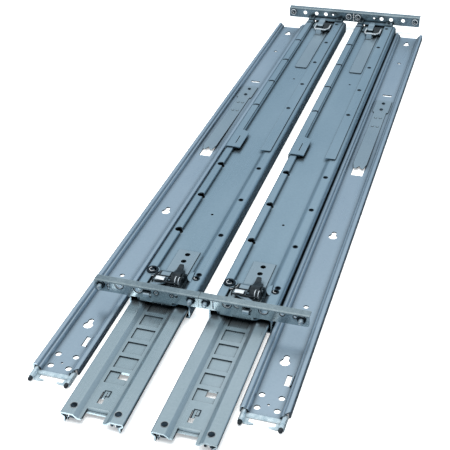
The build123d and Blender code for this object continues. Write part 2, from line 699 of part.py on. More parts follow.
def latch_frame(lift):
    """Latch frame: two round-topped cheeks joined by a bar at each end."""
    floor = latch_level(lift)
    front = LATCH_AXIS_Y - CHEEK_LENGTH / 2
    rear = LATCH_AXIS_Y + CHEEK_LENGTH / 2
    top = floor + CHEEK_HEIGHT
    shoulder = floor + LATCH_BAR_HEIGHT
    side_view = outline(
        (front, floor),
        (rear, floor),
        (rear, shoulder),
        (LATCH_AXIS_Y + CHEEK_HEIGHT * 0.6, top),
        (LATCH_AXIS_Y - CHEEK_HEIGHT * 0.6, top),
        (front, shoulder),
    )
    right = LATCH_LEFT + LATCH_WIDTH
    cheeks = run_across(side_view, LATCH_LEFT, LATCH_LEFT + CHEEK_SHEET)
    cheeks += run_across(side_view, right - CHEEK_SHEET, right)
    cheeks += block(LATCH_LEFT, right, front, front + LATCH_BAR, floor, shoulder)
    cheeks += block(LATCH_LEFT, right, rear - LATCH_BAR, rear, floor, shoulder)
    axis_z = floor + LATCH_AXIS_RISE
    bore = LATCH_PIN_RADIUS + PIN_CLEAR
    return cheeks - crosswise(LATCH_AXIS_Y, axis_z, LATCH_LEFT - OVERRUN, right + OVERRUN, bore)


def latch_pin(lift):
    """Pin that the latch lever and hook turn on."""
    axis_z = latch_level(lift) + LATCH_AXIS_RISE
    right = LATCH_LEFT + LATCH_WIDTH
    head = CHEEK_SHEET / 2
    pin = crosswise(LATCH_AXIS_Y, axis_z, LATCH_LEFT - head, right + head, LATCH_PIN_RADIUS)
    pin += crosswise(LATCH_AXIS_Y, axis_z, LATCH_LEFT - head, LATCH_LEFT - SEAT_CLEAR, LATCH_PIN_RADIUS + head)
    pin += crosswise(LATCH_AXIS_Y, axis_z, right + SEAT_CLEAR, right + head, LATCH_PIN_RADIUS + head)
    return pin


def lever_with_trunnions(lift):
    """Release lever whose own moulded trunnions turn in the frame's cheeks."""
    return latch_lever(lift) + latch_pin(lift)


def latch_lever(lift):
    """Moulded release lever: a humped body on the pin and a thumb knob behind it."""
    axis_z = latch_level(lift) + LATCH_AXIS_RISE
    low = latch_level(lift) + LATCH_BAR_HEIGHT + LEVER_SIDE_GAP
    high = low + LEVER_HEIGHT
    hump = Spline(
        (LATCH_AXIS_Y - LEVER_FRONT, low),
        (LATCH_AXIS_Y - LEVER_FRONT / 2, high - LEVER_HEIGHT / 5),
        (LATCH_AXIS_Y, high),
        (LATCH_AXIS_Y + LEVER_REAR / 2, high - LEVER_HEIGHT / 4),
        (LATCH_AXIS_Y + LEVER_REAR, low + KNOB_HEIGHT),
    )
    base = Polyline(
        (LATCH_AXIS_Y + LEVER_REAR, low + KNOB_HEIGHT),
        (LATCH_AXIS_Y + LEVER_REAR, low),
        (LATCH_AXIS_Y - LEVER_FRONT, low),
    )
    body = run_across(make_face(hump + base), LEVER_LEFT, LEVER_LEFT + LEVER_WIDTH)
    knob_front = LATCH_AXIS_Y + LEVER_REAR - OVERRUN
    knob_rear = LATCH_AXIS_Y + LEVER_REAR + KNOB_LENGTH
    knob = block(LEVER_LEFT, LEVER_LEFT + KNOB_WIDTH, knob_front, knob_rear, low, low + KNOB_HEIGHT)
    knob = fillet(knob.edges().filter_by(Axis.Z).sort_by(Axis.Y)[-2:], KNOB_WIDTH / 3)
    bore = LATCH_PIN_RADIUS + PIN_CLEAR
    lever = body + knob
    return lever - crosswise(LATCH_AXIS_Y, axis_z, LEVER_LEFT - OVERRUN, LEVER_LEFT + LEVER_WIDTH + OVERRUN, bore)


def strap_middle():
    """Middle of the hook's strap between the latch frame's cheeks, across its own rail."""
    return LATCH_LEFT + CHEEK_SHEET + LEVER_SIDE_GAP + HOOK_WIDTH / 2


def latch_hook(nose_middle, nose_y, nose_z, lift):
    """Sheet hook that turns with the lever, with its nose at the place given."""
    axis_z = latch_level(lift) + LATCH_AXIS_RISE
    strap = axis_z + LATCH_PIN_RADIUS + PIN_CLEAR + HOOK_SHEET / 2
    line = [
        (LATCH_AXIS_Y + HOOK_TAIL, strap - LATCH_PIN_RADIUS),
        (LATCH_AXIS_Y + LATCH_PIN_RADIUS * 2, strap),
        (LATCH_AXIS_Y - LEVER_FRONT, strap),
        (nose_y + BRACKET_SHEET + 2 * HOOK_REACH, nose_z),
        (nose_y, nose_z),
        (nose_y, nose_z - HOOK_CLAW),
    ]
    radii = [TIGHT_BEND, SOFT_BEND, SOFT_BEND, TIGHT_BEND]
    strap_left = strap_middle() - HOOK_WIDTH / 2
    strap_right = strap_left + HOOK_WIDTH
    nose_left = nose_middle - HOOK_NOSE_WIDTH / 2
    nose_right = nose_middle + HOOK_NOSE_WIDTH / 2
    sheet = run_across(bent_sheet(line, radii, HOOK_SHEET), min(strap_left, nose_left), max(strap_right, nose_right))
    turn_front = LATCH_AXIS_Y - CHEEK_LENGTH / 2 - OVERRUN
    plan = outline(
        (strap_left, LATCH_AXIS_Y + HOOK_TAIL + OVERRUN),
        (strap_left, turn_front),
        (nose_left, turn_front - HOOK_WIDTH),
        (nose_left, nose_y - OVERRUN),
        (nose_right, nose_y - OVERRUN),
        (nose_right, turn_front - HOOK_WIDTH),
        (strap_right, turn_front),
        (strap_right, LATCH_AXIS_Y + HOOK_TAIL + OVERRUN),
    )
    return sheet & raise_up(plan, 0, FRONT_TOP)


def front_latch_spring():
    """Leaf that lies on the recess and hooks its tail into the rail's slit."""
    half = LATCH_SPRING_WIDTH / 2
    rear = LATCH_SPRING_END + LATCH_SPRING_LENGTH
    middle = RECESS_TOP + SPRING_SHEET / 2
    tail_y = rear - SPRING_SHEET / 2
    line = [(LATCH_SPRING_END, middle), (tail_y, middle), (tail_y, RECESS_TOP - LATCH_SPRING_TAIL)]
    leaf = run_across(bent_sheet(line, [SPRING_SHEET * 0.55], SPRING_SHEET), -half, half)
    for y in spring_hole_places():
        leaf -= upright(0, y, RECESS_TOP - OVERRUN, RECESS_TOP + OVERRUN, LATCH_SPRING_HOLE_RADIUS)
    return leaf


def rear_latch_spring():
    """Long leaf under the rear latch, lying on the recess."""
    half = REAR_SPRING_WIDTH / 2
    rear = REAR_FACE - REAR_SPRING_END
    low = RECESS_TOP + SLIDE_CLEAR
    leaf = block(-half, half, rear - REAR_SPRING_LENGTH, rear, low, low + SPRING_SHEET)
    ends = leaf.edges().filter_by(Axis.Z).sort_by(Axis.Y)[:2]
    leaf = fillet(ends, half / 4)
    hole_y = rear - LATCH_SPRING_END / 2
    return leaf - upright(0, hole_y, low - OVERRUN, low + OVERRUN, CENTRE_HOLE_RADIUS)


def turned_to_rear(shape):
    """Turns a front latch piece to face the rear bracket."""
    return mirror(shape, about=Plane.XZ.offset(-REAR_FACE / 2))


def rear_bracket(side):
    """Rear rack bracket: face with the rack's hole row, top flange, leg in the recess and two wings."""
    face = bracket_face(side, REAR_BOTTOM, REAR_TOP, REAR_FACE)
    inner = side * BRACKET_HALF_GAP
    outer = side * (BRACKET_HALF_GAP + BRACKET_LENGTH)
    x_from, x_to = min(inner, outer), max(inner, outer)
    flange = block(x_from, x_to, REAR_FACE, REAR_FACE + REAR_FLANGE, REAR_TOP - BRACKET_SHEET, REAR_TOP)
    body = face + flange
    body = fillet(body.edges().filter_by(Axis.X).filter_by_position(Axis.Z, REAR_TOP, REAR_TOP)
                  .sort_by(Axis.Y)[:1], BEND_RADIUS)
    slide_x = side * SLIDE_OFFSET
    leg_low = RECESS_TOP + SLIDE_CLEAR
    leg_left = slide_x + LEG_LEFT
    leg_right = slide_x + LEG_RIGHT
    back = REAR_FACE + BRACKET_SHEET
    body += block(leg_left, leg_right, REAR_FACE - REAR_LEG, back, leg_low, leg_low + BRACKET_SHEET)
    body += block(leg_left, leg_right, REAR_FACE, back, leg_low, REAR_BOTTOM + OVERRUN)
    for wing_from, wing_to in wing_spans(slide_x):
        body += block(wing_from, wing_to, REAR_FACE - REAR_WING, back, EXTENSION_TOP, EXTENSION_TOP + BRACKET_SHEET)
    for x in peg_xs(side):
        body -= lengthwise(x, PEG_HEIGHT, REAR_FACE, back + OVERRUN, PEG_COLLAR_RADIUS + PIN_CLEAR)
    inner_peg = BRACKET_HALF_GAP + PEG_EDGE
    hole_row = (2 * RACK_STEP, RACK_UNIT, RACK_UNIT + RACK_STEP)
    for step in hole_row:
        body -= lengthwise(side * (inner_peg + step), PEG_HEIGHT, REAR_FACE - OVERRUN, back + OVERRUN, RACK_HOLE_RADIUS)
    pilot_x = side * (inner_peg + 2 * RACK_STEP - PILOT_HOLE_STEP)
    return body - lengthwise(pilot_x, PEG_HEIGHT, REAR_FACE - OVERRUN, back + OVERRUN, PILOT_HOLE_RADIUS)


def rear_nose_level():
    """Height of the rear hook's nose."""
    return LEG_TOP + REAR_LEG_LIFT + LATCH_AXIS_RISE + LATCH_PIN_RADIUS + HOOK_SHEET


def wing_spans(slide_x):
    """The two stretches of the extension's strips that the rear bracket's wings lie on."""
    left_from = slide_x - EXTENSION_HALF_WIDTH + RACE_FALL
    left_to = slide_x - EXTENSION_HALF_WIDTH + EXTENSION_LEFT_STRIP
    right_from = slide_x + EXTENSION_RIGHT_INNER
    right_to = right_from + EXTENSION_RIGHT_STRIP - RACE_FALL
    return [(left_from, left_to), (right_from, right_to)]


def rear_pins(side):
    """Stepped rack pins of the rear bracket."""
    result = []
    back = REAR_FACE + BRACKET_SHEET
    for x in peg_xs(side):
        pin = lengthwise(x, PEG_HEIGHT, REAR_FACE - PEG_COLLAR, back + REAR_PIN_REACH, REAR_PIN_RADIUS)
        pin = fillet(pin.edges().sort_by(Axis.Y)[-1], REAR_PIN_RADIUS / 2)
        pin += lengthwise(x, PEG_HEIGHT, REAR_FACE, back + PEG_COLLAR, PEG_COLLAR_RADIUS)
        pin += lengthwise(x, PEG_HEIGHT, REAR_FACE - PEG_COLLAR, REAR_FACE, REAR_PIN_COLLAR_RADIUS)
        result.append(pin)
    return result


def rear_rivets():
    """Rivets on the rear bracket's wings."""
    top = EXTENSION_TOP + BRACKET_SHEET
    heads = []
    for wing_from, wing_to in wing_spans(0):
        head = upright((wing_from + wing_to) / 2, REAR_FACE - REAR_WING / 2, top, top + RIVET_HEAD, RIVET_RADIUS)
        heads.append(chamfer(head.edges().sort_by(Axis.Z)[-1], RIVET_HEAD / 2))
    return heads


def chassis_section():
    """Loose rail: flat web between two folded lips with a ledge on their inner side."""
    wall = CHASSIS_WIDTH / 2 - HALF_SHEET
    top = CHASSIS_HEIGHT - HALF_SHEET
    ledge = top - LIP_LEDGE_DROP
    plateau = wall - LIP_PLATEAU + HALF_SHEET
    ledge_outer = plateau - LIP_RISE_RUN
    ledge_inner = ledge_outer - LIP_LEDGE
    half = [
        (ledge_inner - LIP_FOOT_RUN, HALF_SHEET),
        (ledge_inner, ledge),
        (ledge_outer, ledge),
        (plateau, top),
        (wall, top),
        (wall, HALF_SHEET),
    ]
    radii = [TIGHT_BEND, TIGHT_BEND, TIGHT_BEND / 2, TIGHT_BEND / 2, TIGHT_BEND]
    radii = [max(radius, HALF_SHEET + SEAT_CLEAR) for radius in radii]
    return bent_sheet(with_mirror(half), radii[::-1] + radii, RAIL_SHEET)


def keyhole(y):
    """Keyhole cutter: round entry with its slot towards the rear."""
    high = RAIL_SHEET + OVERRUN
    entry = upright(0, y, -OVERRUN, high, KEYHOLE_RADIUS)
    slot_end = upright(0, y + KEYHOLE_SLOT_LENGTH, -OVERRUN, high, KEYHOLE_SLOT_RADIUS)
    slot = block(-KEYHOLE_SLOT_RADIUS, KEYHOLE_SLOT_RADIUS, y, y + KEYHOLE_SLOT_LENGTH, -OVERRUN, high)
    return entry + slot_end + slot


def share_of_chassis(share):
    """A place along the loose rail, by share of its length."""
    return CHASSIS_FRONT + CHASSIS_LENGTH * share


def chassis_rail():
    """Loose rail with its keyholes, screw holes, lock window and bent stop tab."""
    rail = run_along(chassis_section(), CHASSIS_FRONT, CHASSIS_REAR)
    high = RAIL_SHEET + OVERRUN
    keyhole_shares = (0.079, 0.319, 0.966)
    for share in keyhole_shares:
        rail -= keyhole(share_of_chassis(share))
    small_shares = (0.174, 0.878)
    for share in small_shares:
        rail -= upright(0, share_of_chassis(share), -OVERRUN, high, KEYHOLE_SLOT_RADIUS)
    for x in (-FOUR_HOLE_ACROSS / 2, FOUR_HOLE_ACROSS / 2):
        for row in range(2):
            y = CHASSIS_FRONT + FOUR_HOLE_INSET + FOUR_HOLE_ALONG * row
            rail -= upright(x, y, -OVERRUN, high, FOUR_HOLE_RADIUS)
    dot_y = CHASSIS_FRONT + FOUR_HOLE_INSET + FOUR_HOLE_ALONG / 3
    rail -= upright(0, dot_y, -OVERRUN, high, RIVET_HEAD)
    cross_y = LOCK_REAR + LOCK_WIDE_LENGTH / 2
    rail -= block(-HOOK_SLOT_WIDTH, LOCK_WINDOW_WIDTH / 2, cross_y - OVERRUN, cross_y + OVERRUN, -OVERRUN, high)
    window_rear = LOCK_REAR - LOCK_LENGTH
    half = LOCK_WINDOW_WIDTH / 2
    rail -= block(-half, half, window_rear - LOCK_WINDOW_LENGTH, window_rear, -OVERRUN, high)
    tab_x = FOUR_HOLE_ACROSS / 2
    tab_y = CHASSIS_FRONT + FOUR_HOLE_INSET + 2 * FOUR_HOLE_ALONG
    rail -= block(tab_x - KEYHOLE_SLOT_RADIUS, tab_x + KEYHOLE_SLOT_RADIUS, tab_y, tab_y + LOCK_WINDOW_WIDTH,
                  -OVERRUN, high)
    rail += block(tab_x + KEYHOLE_SLOT_RADIUS, tab_x + KEYHOLE_SLOT_RADIUS + RAIL_SHEET, tab_y,
                  tab_y + LOCK_WINDOW_WIDTH, 0, 2 * RAIL_SHEET)
    corner = outline(
        (CHASSIS_WIDTH / 2 + OVERRUN, CHASSIS_FRONT - OVERRUN),
        (CHASSIS_WIDTH / 2 - CORNER_CUT - OVERRUN / 2, CHASSIS_FRONT - OVERRUN),
        (CHASSIS_WIDTH / 2 + OVERRUN, CHASSIS_FRONT + CORNER_CUT + OVERRUN / 2),
    )
    return rail - raise_up(corner, -OVERRUN, CHASSIS_HEIGHT + OVERRUN)


def lock_leaf():
    """Leaf of the spring lock: it rises from the foot towards its forked end."""
    front = LOCK_REAR - LOCK_LENGTH
    low = RAIL_SHEET + SPRING_SHEET / 2
    wide_front = LOCK_REAR - LOCK_WIDE_LENGTH
    bend_y = LOCK_REAR - LOCK_LENGTH * LOCK_BEND_SHARE
    line = [(wide_front, low), (bend_y, low), (front, low + LOCK_RISE), (front - TONGUE_LENGTH, low + LOCK_RISE)]
    sheet = run_across(bent_sheet(line, [SOFT_BEND, SOFT_BEND], SPRING_SHEET), -LOCK_WIDE / 2, LOCK_WIDE / 2)
    half = LOCK_WIDTH / 2
    tongue = LOCK_WINDOW_WIDTH / 2 - RIVET_HEAD
    plan = outline(
        (-half, wide_front),
        (-half, front),
        (-tongue, front - TONGUE_LENGTH),
        (-tongue / 2, front - TONGUE_LENGTH),
        (0, front - TONGUE_LENGTH / 2),
        (tongue / 2, front - TONGUE_LENGTH),
        (tongue, front - TONGUE_LENGTH),
        (half, front),
        (half, wide_front),
    )
    leaf = sheet & raise_up(plan, 0, CHASSIS_HEIGHT + LOCK_RISE)
    top = RAIL_SHEET + SPRING_SHEET
    bump_shares = (0.293, 0.43)
    for share in bump_shares:
        for x in (-LOCK_BUMP_SPREAD / 2, LOCK_BUMP_SPREAD / 2):
            bump_y = LOCK_REAR - LOCK_LENGTH * share
            bump = upright(x, bump_y, top - SPRING_SHEET / 2, top + LOCK_BUMP_HEIGHT, LOCK_BUMP_RADIUS)
            leaf += chamfer(bump.edges().sort_by(Axis.Z)[-1], LOCK_BUMP_HEIGHT / 2)
    return leaf


def lock_foot():
    """Wide foot of the spring lock, riveted flat to the web."""
    front = LOCK_REAR - LOCK_WIDE_LENGTH + PIN_CLEAR
    foot = block(-LOCK_WIDE / 2, LOCK_WIDE / 2, front, LOCK_REAR, RAIL_SHEET, RAIL_SHEET + SPRING_SHEET)
    return fillet(foot.edges().filter_by(Axis.Z), CORNER_RADIUS)


def lock_rivets():
    """Rivets that hold the lock's foot to the loose rail."""
    top = RAIL_SHEET + SPRING_SHEET
    heads = []
    rivet_shares = (0.25, 0.75)
    for share in rivet_shares:
        y = LOCK_REAR - LOCK_WIDE_LENGTH * share
        head = upright(0, y, top, top + LOCK_RIVET_HEIGHT, LOCK_RIVET_RADIUS)
        heads.append(chamfer(head.edges().sort_by(Axis.Z)[-1], LOCK_RIVET_HEIGHT / 2))
    return heads


def end_guide():
    """Formed guide at the loose rail's front: two flanged prongs and a strip between them."""
    prong = CHASSIS_WIDTH / 2 - GUIDE_INSET
    half_guide = GUIDE_SHEET / 2
    front = CHASSIS_FRONT - GUIDE_REACH
    cross_rear = CHASSIS_FRONT - GUIDE_CROSS_GAP + GUIDE_CROSS_WIDTH
    guide = block(-prong, prong, CHASSIS_FRONT - GUIDE_CROSS_GAP, cross_rear - GUIDE_CROSS_GAP / 2, 0, GUIDE_SHEET)
    for side in SIDES.values():
        line = [
            (side * prong, GUIDE_HEIGHT),
            (side * prong, half_guide),
            (side * (prong - GUIDE_FOOT), half_guide),
        ]
        angle = run_along(bent_sheet(line, [GUIDE_SHEET * 0.6], GUIDE_SHEET), front, cross_rear - GUIDE_CROSS_GAP / 2)
        relief_y = front + GUIDE_FOOT / 2
        relief = upright(side * (prong - GUIDE_FOOT), relief_y + GUIDE_FOOT / 2, -OVERRUN, OVERRUN, GUIDE_FOOT / 3)
        tail_from = min(side * (prong - half_guide), side * (prong + half_guide))
        tail = block(tail_from, tail_from + GUIDE_SHEET, cross_rear - GUIDE_CROSS_GAP, CHASSIS_FRONT + GUIDE_TAIL,
                     RAIL_SHEET, GUIDE_HEIGHT)
        guide += angle - relief + tail
    return guide


def end_buffers():
    """Black rubber buffers on the prong ends and blocks at their roots."""
    prong = CHASSIS_WIDTH / 2 - GUIDE_INSET
    front = CHASSIS_FRONT - GUIDE_REACH
    middle = GUIDE_HEIGHT / 2 + GUIDE_SHEET / 2
    pieces = []
    for side in SIDES.values():
        tip = lengthwise(side * prong, middle, front - BUFFER_LENGTH, front, BUFFER_RADIUS)
        pieces.append(fillet(tip.edges().sort_by(Axis.Y)[0], BUFFER_RADIUS / 2))
        root = side * (prong - GUIDE_SHEET / 2 - SEAT_CLEAR)
        root_inner = root - side * BUFFER_RADIUS
        y_from = CHASSIS_FRONT - BUFFER_BLOCK
        pieces.append(block(min(root, root_inner), max(root, root_inner), y_from, CHASSIS_FRONT - SEAT_CLEAR,
                            GUIDE_SHEET + SEAT_CLEAR, GUIDE_HEIGHT))
    return pieces


def keep(name, shape, x, y=0):
    """Writes one named piece at its place in the finished frame."""
    solids = shape if isinstance(shape, list) else [shape]
    place = Pos(x - LAYOUT_MID_X, y - LAYOUT_MID_Y, 0)
    gathered = [solid for item in solids for solid in item.solids()]
    whole = gathered[0] if len(gathered) == 1 else Compound(children=[Solid(solid.wrapped) for solid in gathered])
    whole = place * whole
    whole.label = name
    export_step(whole, f"parts/{name}.step")


def write_slide(name, side):
    """Writes the pieces of one telescopic slide."""
    x = side * SLIDE_OFFSET
    keep(f"{name}_outer_rail", outer_rail(), x)
    keep(f"{name}_middle_rail", middle_rail(), x)
    keep(f"{name}_stop_plate", stop_plate(), x)
    keep(f"{name}_middle_rivets", middle_rivets(), x)
    keep(f"{name}_outer_ball_cage", outer_cage(), x)
    keep(f"{name}_outer_balls", outer_balls(), x)
    keep(f"{name}_inner_ball_cage", inner_cage(), x)
    keep(f"{name}_inner_balls", inner_balls(), x)
    keep(f"{name}_front_bracket", front_bracket(side), 0)
    keep(f"{name}_front_pegs", pegs(side), 0)
    keep(f"{name}_front_rivets", front_rivets(), x)
    keep(f"{name}_front_latch_spring", front_latch_spring(), x)
    keep(f"{name}_front_latch_frame", latch_frame(0), x)
    keep(f"{name}_front_latch_pin", latch_pin(0), x)
    keep(f"{name}_front_latch_lever", latch_lever(0), x)
    front_nose = hook_middle(side) - x
    keep(f"{name}_front_latch_hook", latch_hook(front_nose, -HOOK_REACH, PEG_HEIGHT, 0), x)
    keep(f"{name}_rear_extension", extension(), x)
    keep(f"{name}_rear_bracket", rear_bracket(side), 0)
    keep(f"{name}_rear_pins", rear_pins(side), 0)
    keep(f"{name}_rear_rivets", rear_rivets(), x)
    keep(f"{name}_rear_latch_spring", rear_latch_spring(), x)
    keep(f"{name}_rear_latch_frame", turned_to_rear(latch_frame(REAR_LEG_LIFT)), x)
    keep(f"{name}_rear_latch_lever", turned_to_rear(lever_with_trunnions(REAR_LEG_LIFT)), x)
    rear_nose = EXTENSION_BRIDGE + HOOK_SHEET
    rear_hook = latch_hook(strap_middle(), rear_nose, rear_nose_level(), REAR_LEG_LIFT)
    keep(f"{name}_rear_latch_hook", turned_to_rear(rear_hook), x)


def write_chassis(name, x):
    """Writes the pieces of one loose rail."""
    keep(f"{name}_chassis_rail", chassis_rail(), x)
    keep(f"{name}_lock_foot", lock_foot(), x)
    keep(f"{name}_lock_leaf", lock_leaf(), x)
    keep(f"{name}_lock_rivets", lock_rivets(), x)
    keep(f"{name}_end_guide", end_guide(), x)
    keep(f"{name}_end_buffers", end_buffers(), x)


os.makedirs("parts", exist_ok=True)
for slide_name, slide_side in SIDES.items():
    write_slide(slide_name, slide_side)
write_chassis("left", LEFT_CHASSIS_X)
write_chassis("right", RIGHT_CHASSIS_X)
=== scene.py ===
from math import cos, pi, radians, sin

import bmesh
import bpy
from mathutils import Matrix, Vector


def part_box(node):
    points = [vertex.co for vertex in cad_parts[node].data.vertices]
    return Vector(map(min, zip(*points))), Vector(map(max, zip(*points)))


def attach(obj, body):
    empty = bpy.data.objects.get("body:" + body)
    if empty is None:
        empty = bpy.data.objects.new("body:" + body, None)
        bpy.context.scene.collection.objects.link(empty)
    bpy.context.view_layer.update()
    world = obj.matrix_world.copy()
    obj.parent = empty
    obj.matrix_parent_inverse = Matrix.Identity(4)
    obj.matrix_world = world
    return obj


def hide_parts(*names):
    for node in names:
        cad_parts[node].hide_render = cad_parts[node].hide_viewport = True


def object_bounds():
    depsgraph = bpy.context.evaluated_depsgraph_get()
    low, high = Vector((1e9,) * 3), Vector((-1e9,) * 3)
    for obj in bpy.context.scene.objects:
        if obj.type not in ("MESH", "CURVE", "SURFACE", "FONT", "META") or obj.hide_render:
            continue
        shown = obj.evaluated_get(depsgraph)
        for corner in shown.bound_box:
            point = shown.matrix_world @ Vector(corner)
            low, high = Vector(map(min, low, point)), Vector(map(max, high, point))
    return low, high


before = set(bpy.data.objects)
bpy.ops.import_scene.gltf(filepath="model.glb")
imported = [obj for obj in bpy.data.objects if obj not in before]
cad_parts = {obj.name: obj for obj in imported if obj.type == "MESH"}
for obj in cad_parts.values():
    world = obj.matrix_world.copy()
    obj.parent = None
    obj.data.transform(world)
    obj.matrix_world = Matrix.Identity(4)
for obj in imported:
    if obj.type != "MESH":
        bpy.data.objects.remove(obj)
CAD_BOX = [list(corner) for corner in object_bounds()]

# The camera, from the fit of the rack spacing in the photograph
CAMERA_PLACE = (0.1988, -0.7954, 0.4536)
CAMERA_PITCH = radians(32.77)
CAMERA_YAW = radians(18.06)
CAMERA_ROLL = radians(-1.37)
LENS = 73.0
SENSOR = 36.0

# Colours of the photograph, as linear light
ZINC_LIGHT = (0.67, 0.76, 0.85)
ZINC_DARK = (0.49, 0.60, 0.69)
MIDDLE_LIGHT = (0.68, 0.76, 0.80)
MIDDLE_DARK = (0.44, 0.54, 0.58)
SLIDE_LIGHT = (0.56, 0.69, 0.78)
SLIDE_DARK = (0.37, 0.50, 0.58)
BRACKET_LIGHT = (0.60, 0.68, 0.70)
BRACKET_DARK = (0.22, 0.28, 0.31)
SPRING_LIGHT = (0.60, 0.69, 0.75)
SPRING_DARK = (0.42, 0.52, 0.58)
# Colour of the sharp edges: partly wear, partly a painted highlight
EDGE_BRIGHT = (0.86, 0.92, 0.94)
# Painted shade: colour laid into corners and under edges, where little light reaches
CORNER_SHADE = (0.02, 0.035, 0.045)
CHROME_LIGHT = (0.86, 0.88, 0.89)
CHROME_DARK = (0.62, 0.66, 0.69)
GUIDE_LIGHT = (0.80, 0.90, 0.94)
GUIDE_DARK = (0.50, 0.62, 0.68)
BLACK_LIGHT = (0.022, 0.028, 0.033)
BLACK_DARK = (0.006, 0.009, 0.012)
RIVET_LIGHT = (0.05, 0.07, 0.09)
RIVET_DARK = (0.015, 0.022, 0.03)

# Floor: half its length in metres, its two whites, and its finish
FLOOR_HALF = 4.0
FLOOR_WHITE = (0.93, 0.93, 0.93)
FLOOR_WHITEST = (0.95, 0.95, 0.95)
FLOOR_ROUGHNESS = 0.8
FLOOR_GLOW = 0.35

# The room's colours by height, from straight down at 0 to straight up at 1
ROOM = [
    (0.0, (0.02, 0.03, 0.04)),
    (0.48, (0.03, 0.045, 0.055)),
    (0.55, (0.12, 0.18, 0.22)),
    (0.62, (0.26, 0.35, 0.42)),
    (0.72, (0.36, 0.46, 0.55)),
    (0.82, (0.50, 0.58, 0.63)),
    (0.92, (0.66, 0.74, 0.77)),
    (1.0, (0.80, 0.86, 0.90)),
]

# Card in front of the set: its colours, and the parts of a direction between which they meet across, and between
# which the card fades in by depth and by height
CARD_LEFT = (0.85, 0.93, 0.97)
CARD_RIGHT = (0.12, 0.15, 0.17)
CARD_ACROSS = (-0.45, -0.12)
CARD_DEPTH = (-0.25, -0.75)
CARD_HEIGHT = (0.1, -0.2)

# Bright patch in front of the set: its light, its direction, and the cosines of the angle to it between which it fades
PATCH_LIGHT = (3.4, 3.8, 4.0)
PATCH_DIRECTION = (-0.42, -0.68, -0.60)
PATCH_NEARNESS = (0.972, 0.999)

# Soft panels: place, size in metres and power
PANELS = {
    "overhead": ((0.0, -0.3, 2.4), (2.2, 2.2), 75.0),
    "left_side": ((-1.9, -0.4, 1.5), (1.2, 1.6), 30.0),
}

# Edges lightened by wear and by a painted highlight, and painted shade in corners: how far they reach in metres,
# between which measures they grow, and the most wear and highlight at the edges
EDGE_REACH, EDGE_LIMITS, EDGE_WEAR_AND_HIGHLIGHT = 0.0007, (0.05, 0.35), 0.75
CORNER_REACH, CORNER_LIMITS = 0.005, (0.94, 0.56)
SMALL_CORNER_REACH, SMALL_CORNER_LIMITS = 0.0025, (0.95, 0.4)

# Sheets: material, light and dark colour, roughness, how far blotches and spangle change the tone, and the most
# painted shade in corners
SHEET_METALLIC = 0.94
SHEETS = {
    "rail_zinc": ("rolled_zinc", ZINC_LIGHT, ZINC_DARK, 0.32, 0.22, 0.10, 0.9),
    "slide_zinc": ("deep_zinc", SLIDE_LIGHT, SLIDE_DARK, 0.32, 0.24, 0.10, 0.95),
    "middle_zinc": ("pale_zinc", MIDDLE_LIGHT, MIDDLE_DARK, 0.30, 0.30, 0.10, 0.9),
    "bracket_zinc": ("mottled_zinc", BRACKET_LIGHT, BRACKET_DARK, 0.24, 0.40, 0.14, 0.9),
    "spring_steel": ("spring_sheet", SPRING_LIGHT, SPRING_DARK, 0.32, 0.2, 0.10, 0.95),
}

# Small pieces: material, light and dark colour, roughness, how metallic, and the most painted shade in corners
SMALL_PIECES = {
    "latch_black": ("black_oxide", BLACK_LIGHT, BLACK_DARK, 0.34, 0.3, 0.5),
    "bright_chrome": ("bright_plate", CHROME_LIGHT, CHROME_DARK, 0.2, 0.6, 0.8),
    "rubber_black": ("black_rubber", BLACK_LIGHT, BLACK_DARK, 0.55, 0.0, 0.3),
    "guide_chrome": ("guide_plate", GUIDE_LIGHT, GUIDE_DARK, 0.22, 0.7, 0.7),
    "ball_steel": ("polished_steel", CHROME_LIGHT, CHROME_DARK, 0.10, 1.0, 0.6),
    "dark_rivet": ("rivet_steel", RIVET_LIGHT, RIVET_DARK, 0.30, 0.9, 0.6),
}

# Kinds of piece whose finish differs from the slot that the record gives them
OWN_FINISH = {
    "outer_rail": "slide_zinc",
    "rear_extension": "slide_zinc",
    "middle_rail": "middle_zinc",
    "stop_plate": "middle_zinc",
    "front_latch_frame": "latch_black",
    "rear_latch_frame": "spring_steel",
    "front_pegs": "spring_steel",
    "front_latch_hook": "spring_steel",
    "rear_latch_hook": "spring_steel",
}

# The pieces that dress the frame are given in millimetres. On a slide, the first number is across from its middle,
# the second along from the front bracket's face, and the third up from the floor. A round is a rod bent to an arc
# or, without ends, to a whole circle: offset from its place, radius, the arc's ends in degrees, the rod's radius.
MM = 0.001
X, Y, Z = Vector((1, 0, 0)), Vector((0, 1, 0)), Vector((0, 0, 1))
ROD_SIDES = 8
TURNED_SIDES = 24
SHARP_ANGLE = radians(40)

# Heights of the frame's sheets
STRIP_TOP = 14.0
EXTENSION_TOP = 15.35
MIDDLE_TOP = 9.3
CHANNEL_TOP = 6.5

# Ring at the left strip's end, with bright arcs of painted highlight
RING_ACROSS, RING_ALONG = -19.5, 37.5
RING_RADIUS = 4.1
RING_SEAL = [((0, 0, 0.5), RING_RADIUS, None, 0.95)]
# Bright arcs laid on the strip as a painted glint and a painted sheen
RING_HIGHLIGHTS = [((0, 0, 1.0), 2.5, (120, 330), 0.35), ((0, 0, -0.9), 6.9, (-140, 10), 0.3)]
STRIP_NOSE_RADIUS = 6.4
STRIP_NOSE_ENDS = (-150, 60)
STRIP_NOSE_RISE = 0.2

# Pair of holes at the right strip's end
DOTS_ACROSS, DOTS_ALONG = 19.3, 37.5
DOT_LIPS = [((0, -1.8, 0.15), 2.5, None, 0.5), ((0.6, 3.7, 0.15), 1.9, None, 0.4)]
DOT_GLINTS = [((0, -1.8, 0.5), 1.7, (150, 300), 0.3)]
SHOULDER_NOSE_RADIUS = 8.0
SHOULDER_NOSE_ENDS = (120, 250)
SHOULDER_NOSE_RISE = 0.1
NOSE_DROP = 2.9
NOSE_BEVEL = 0.3

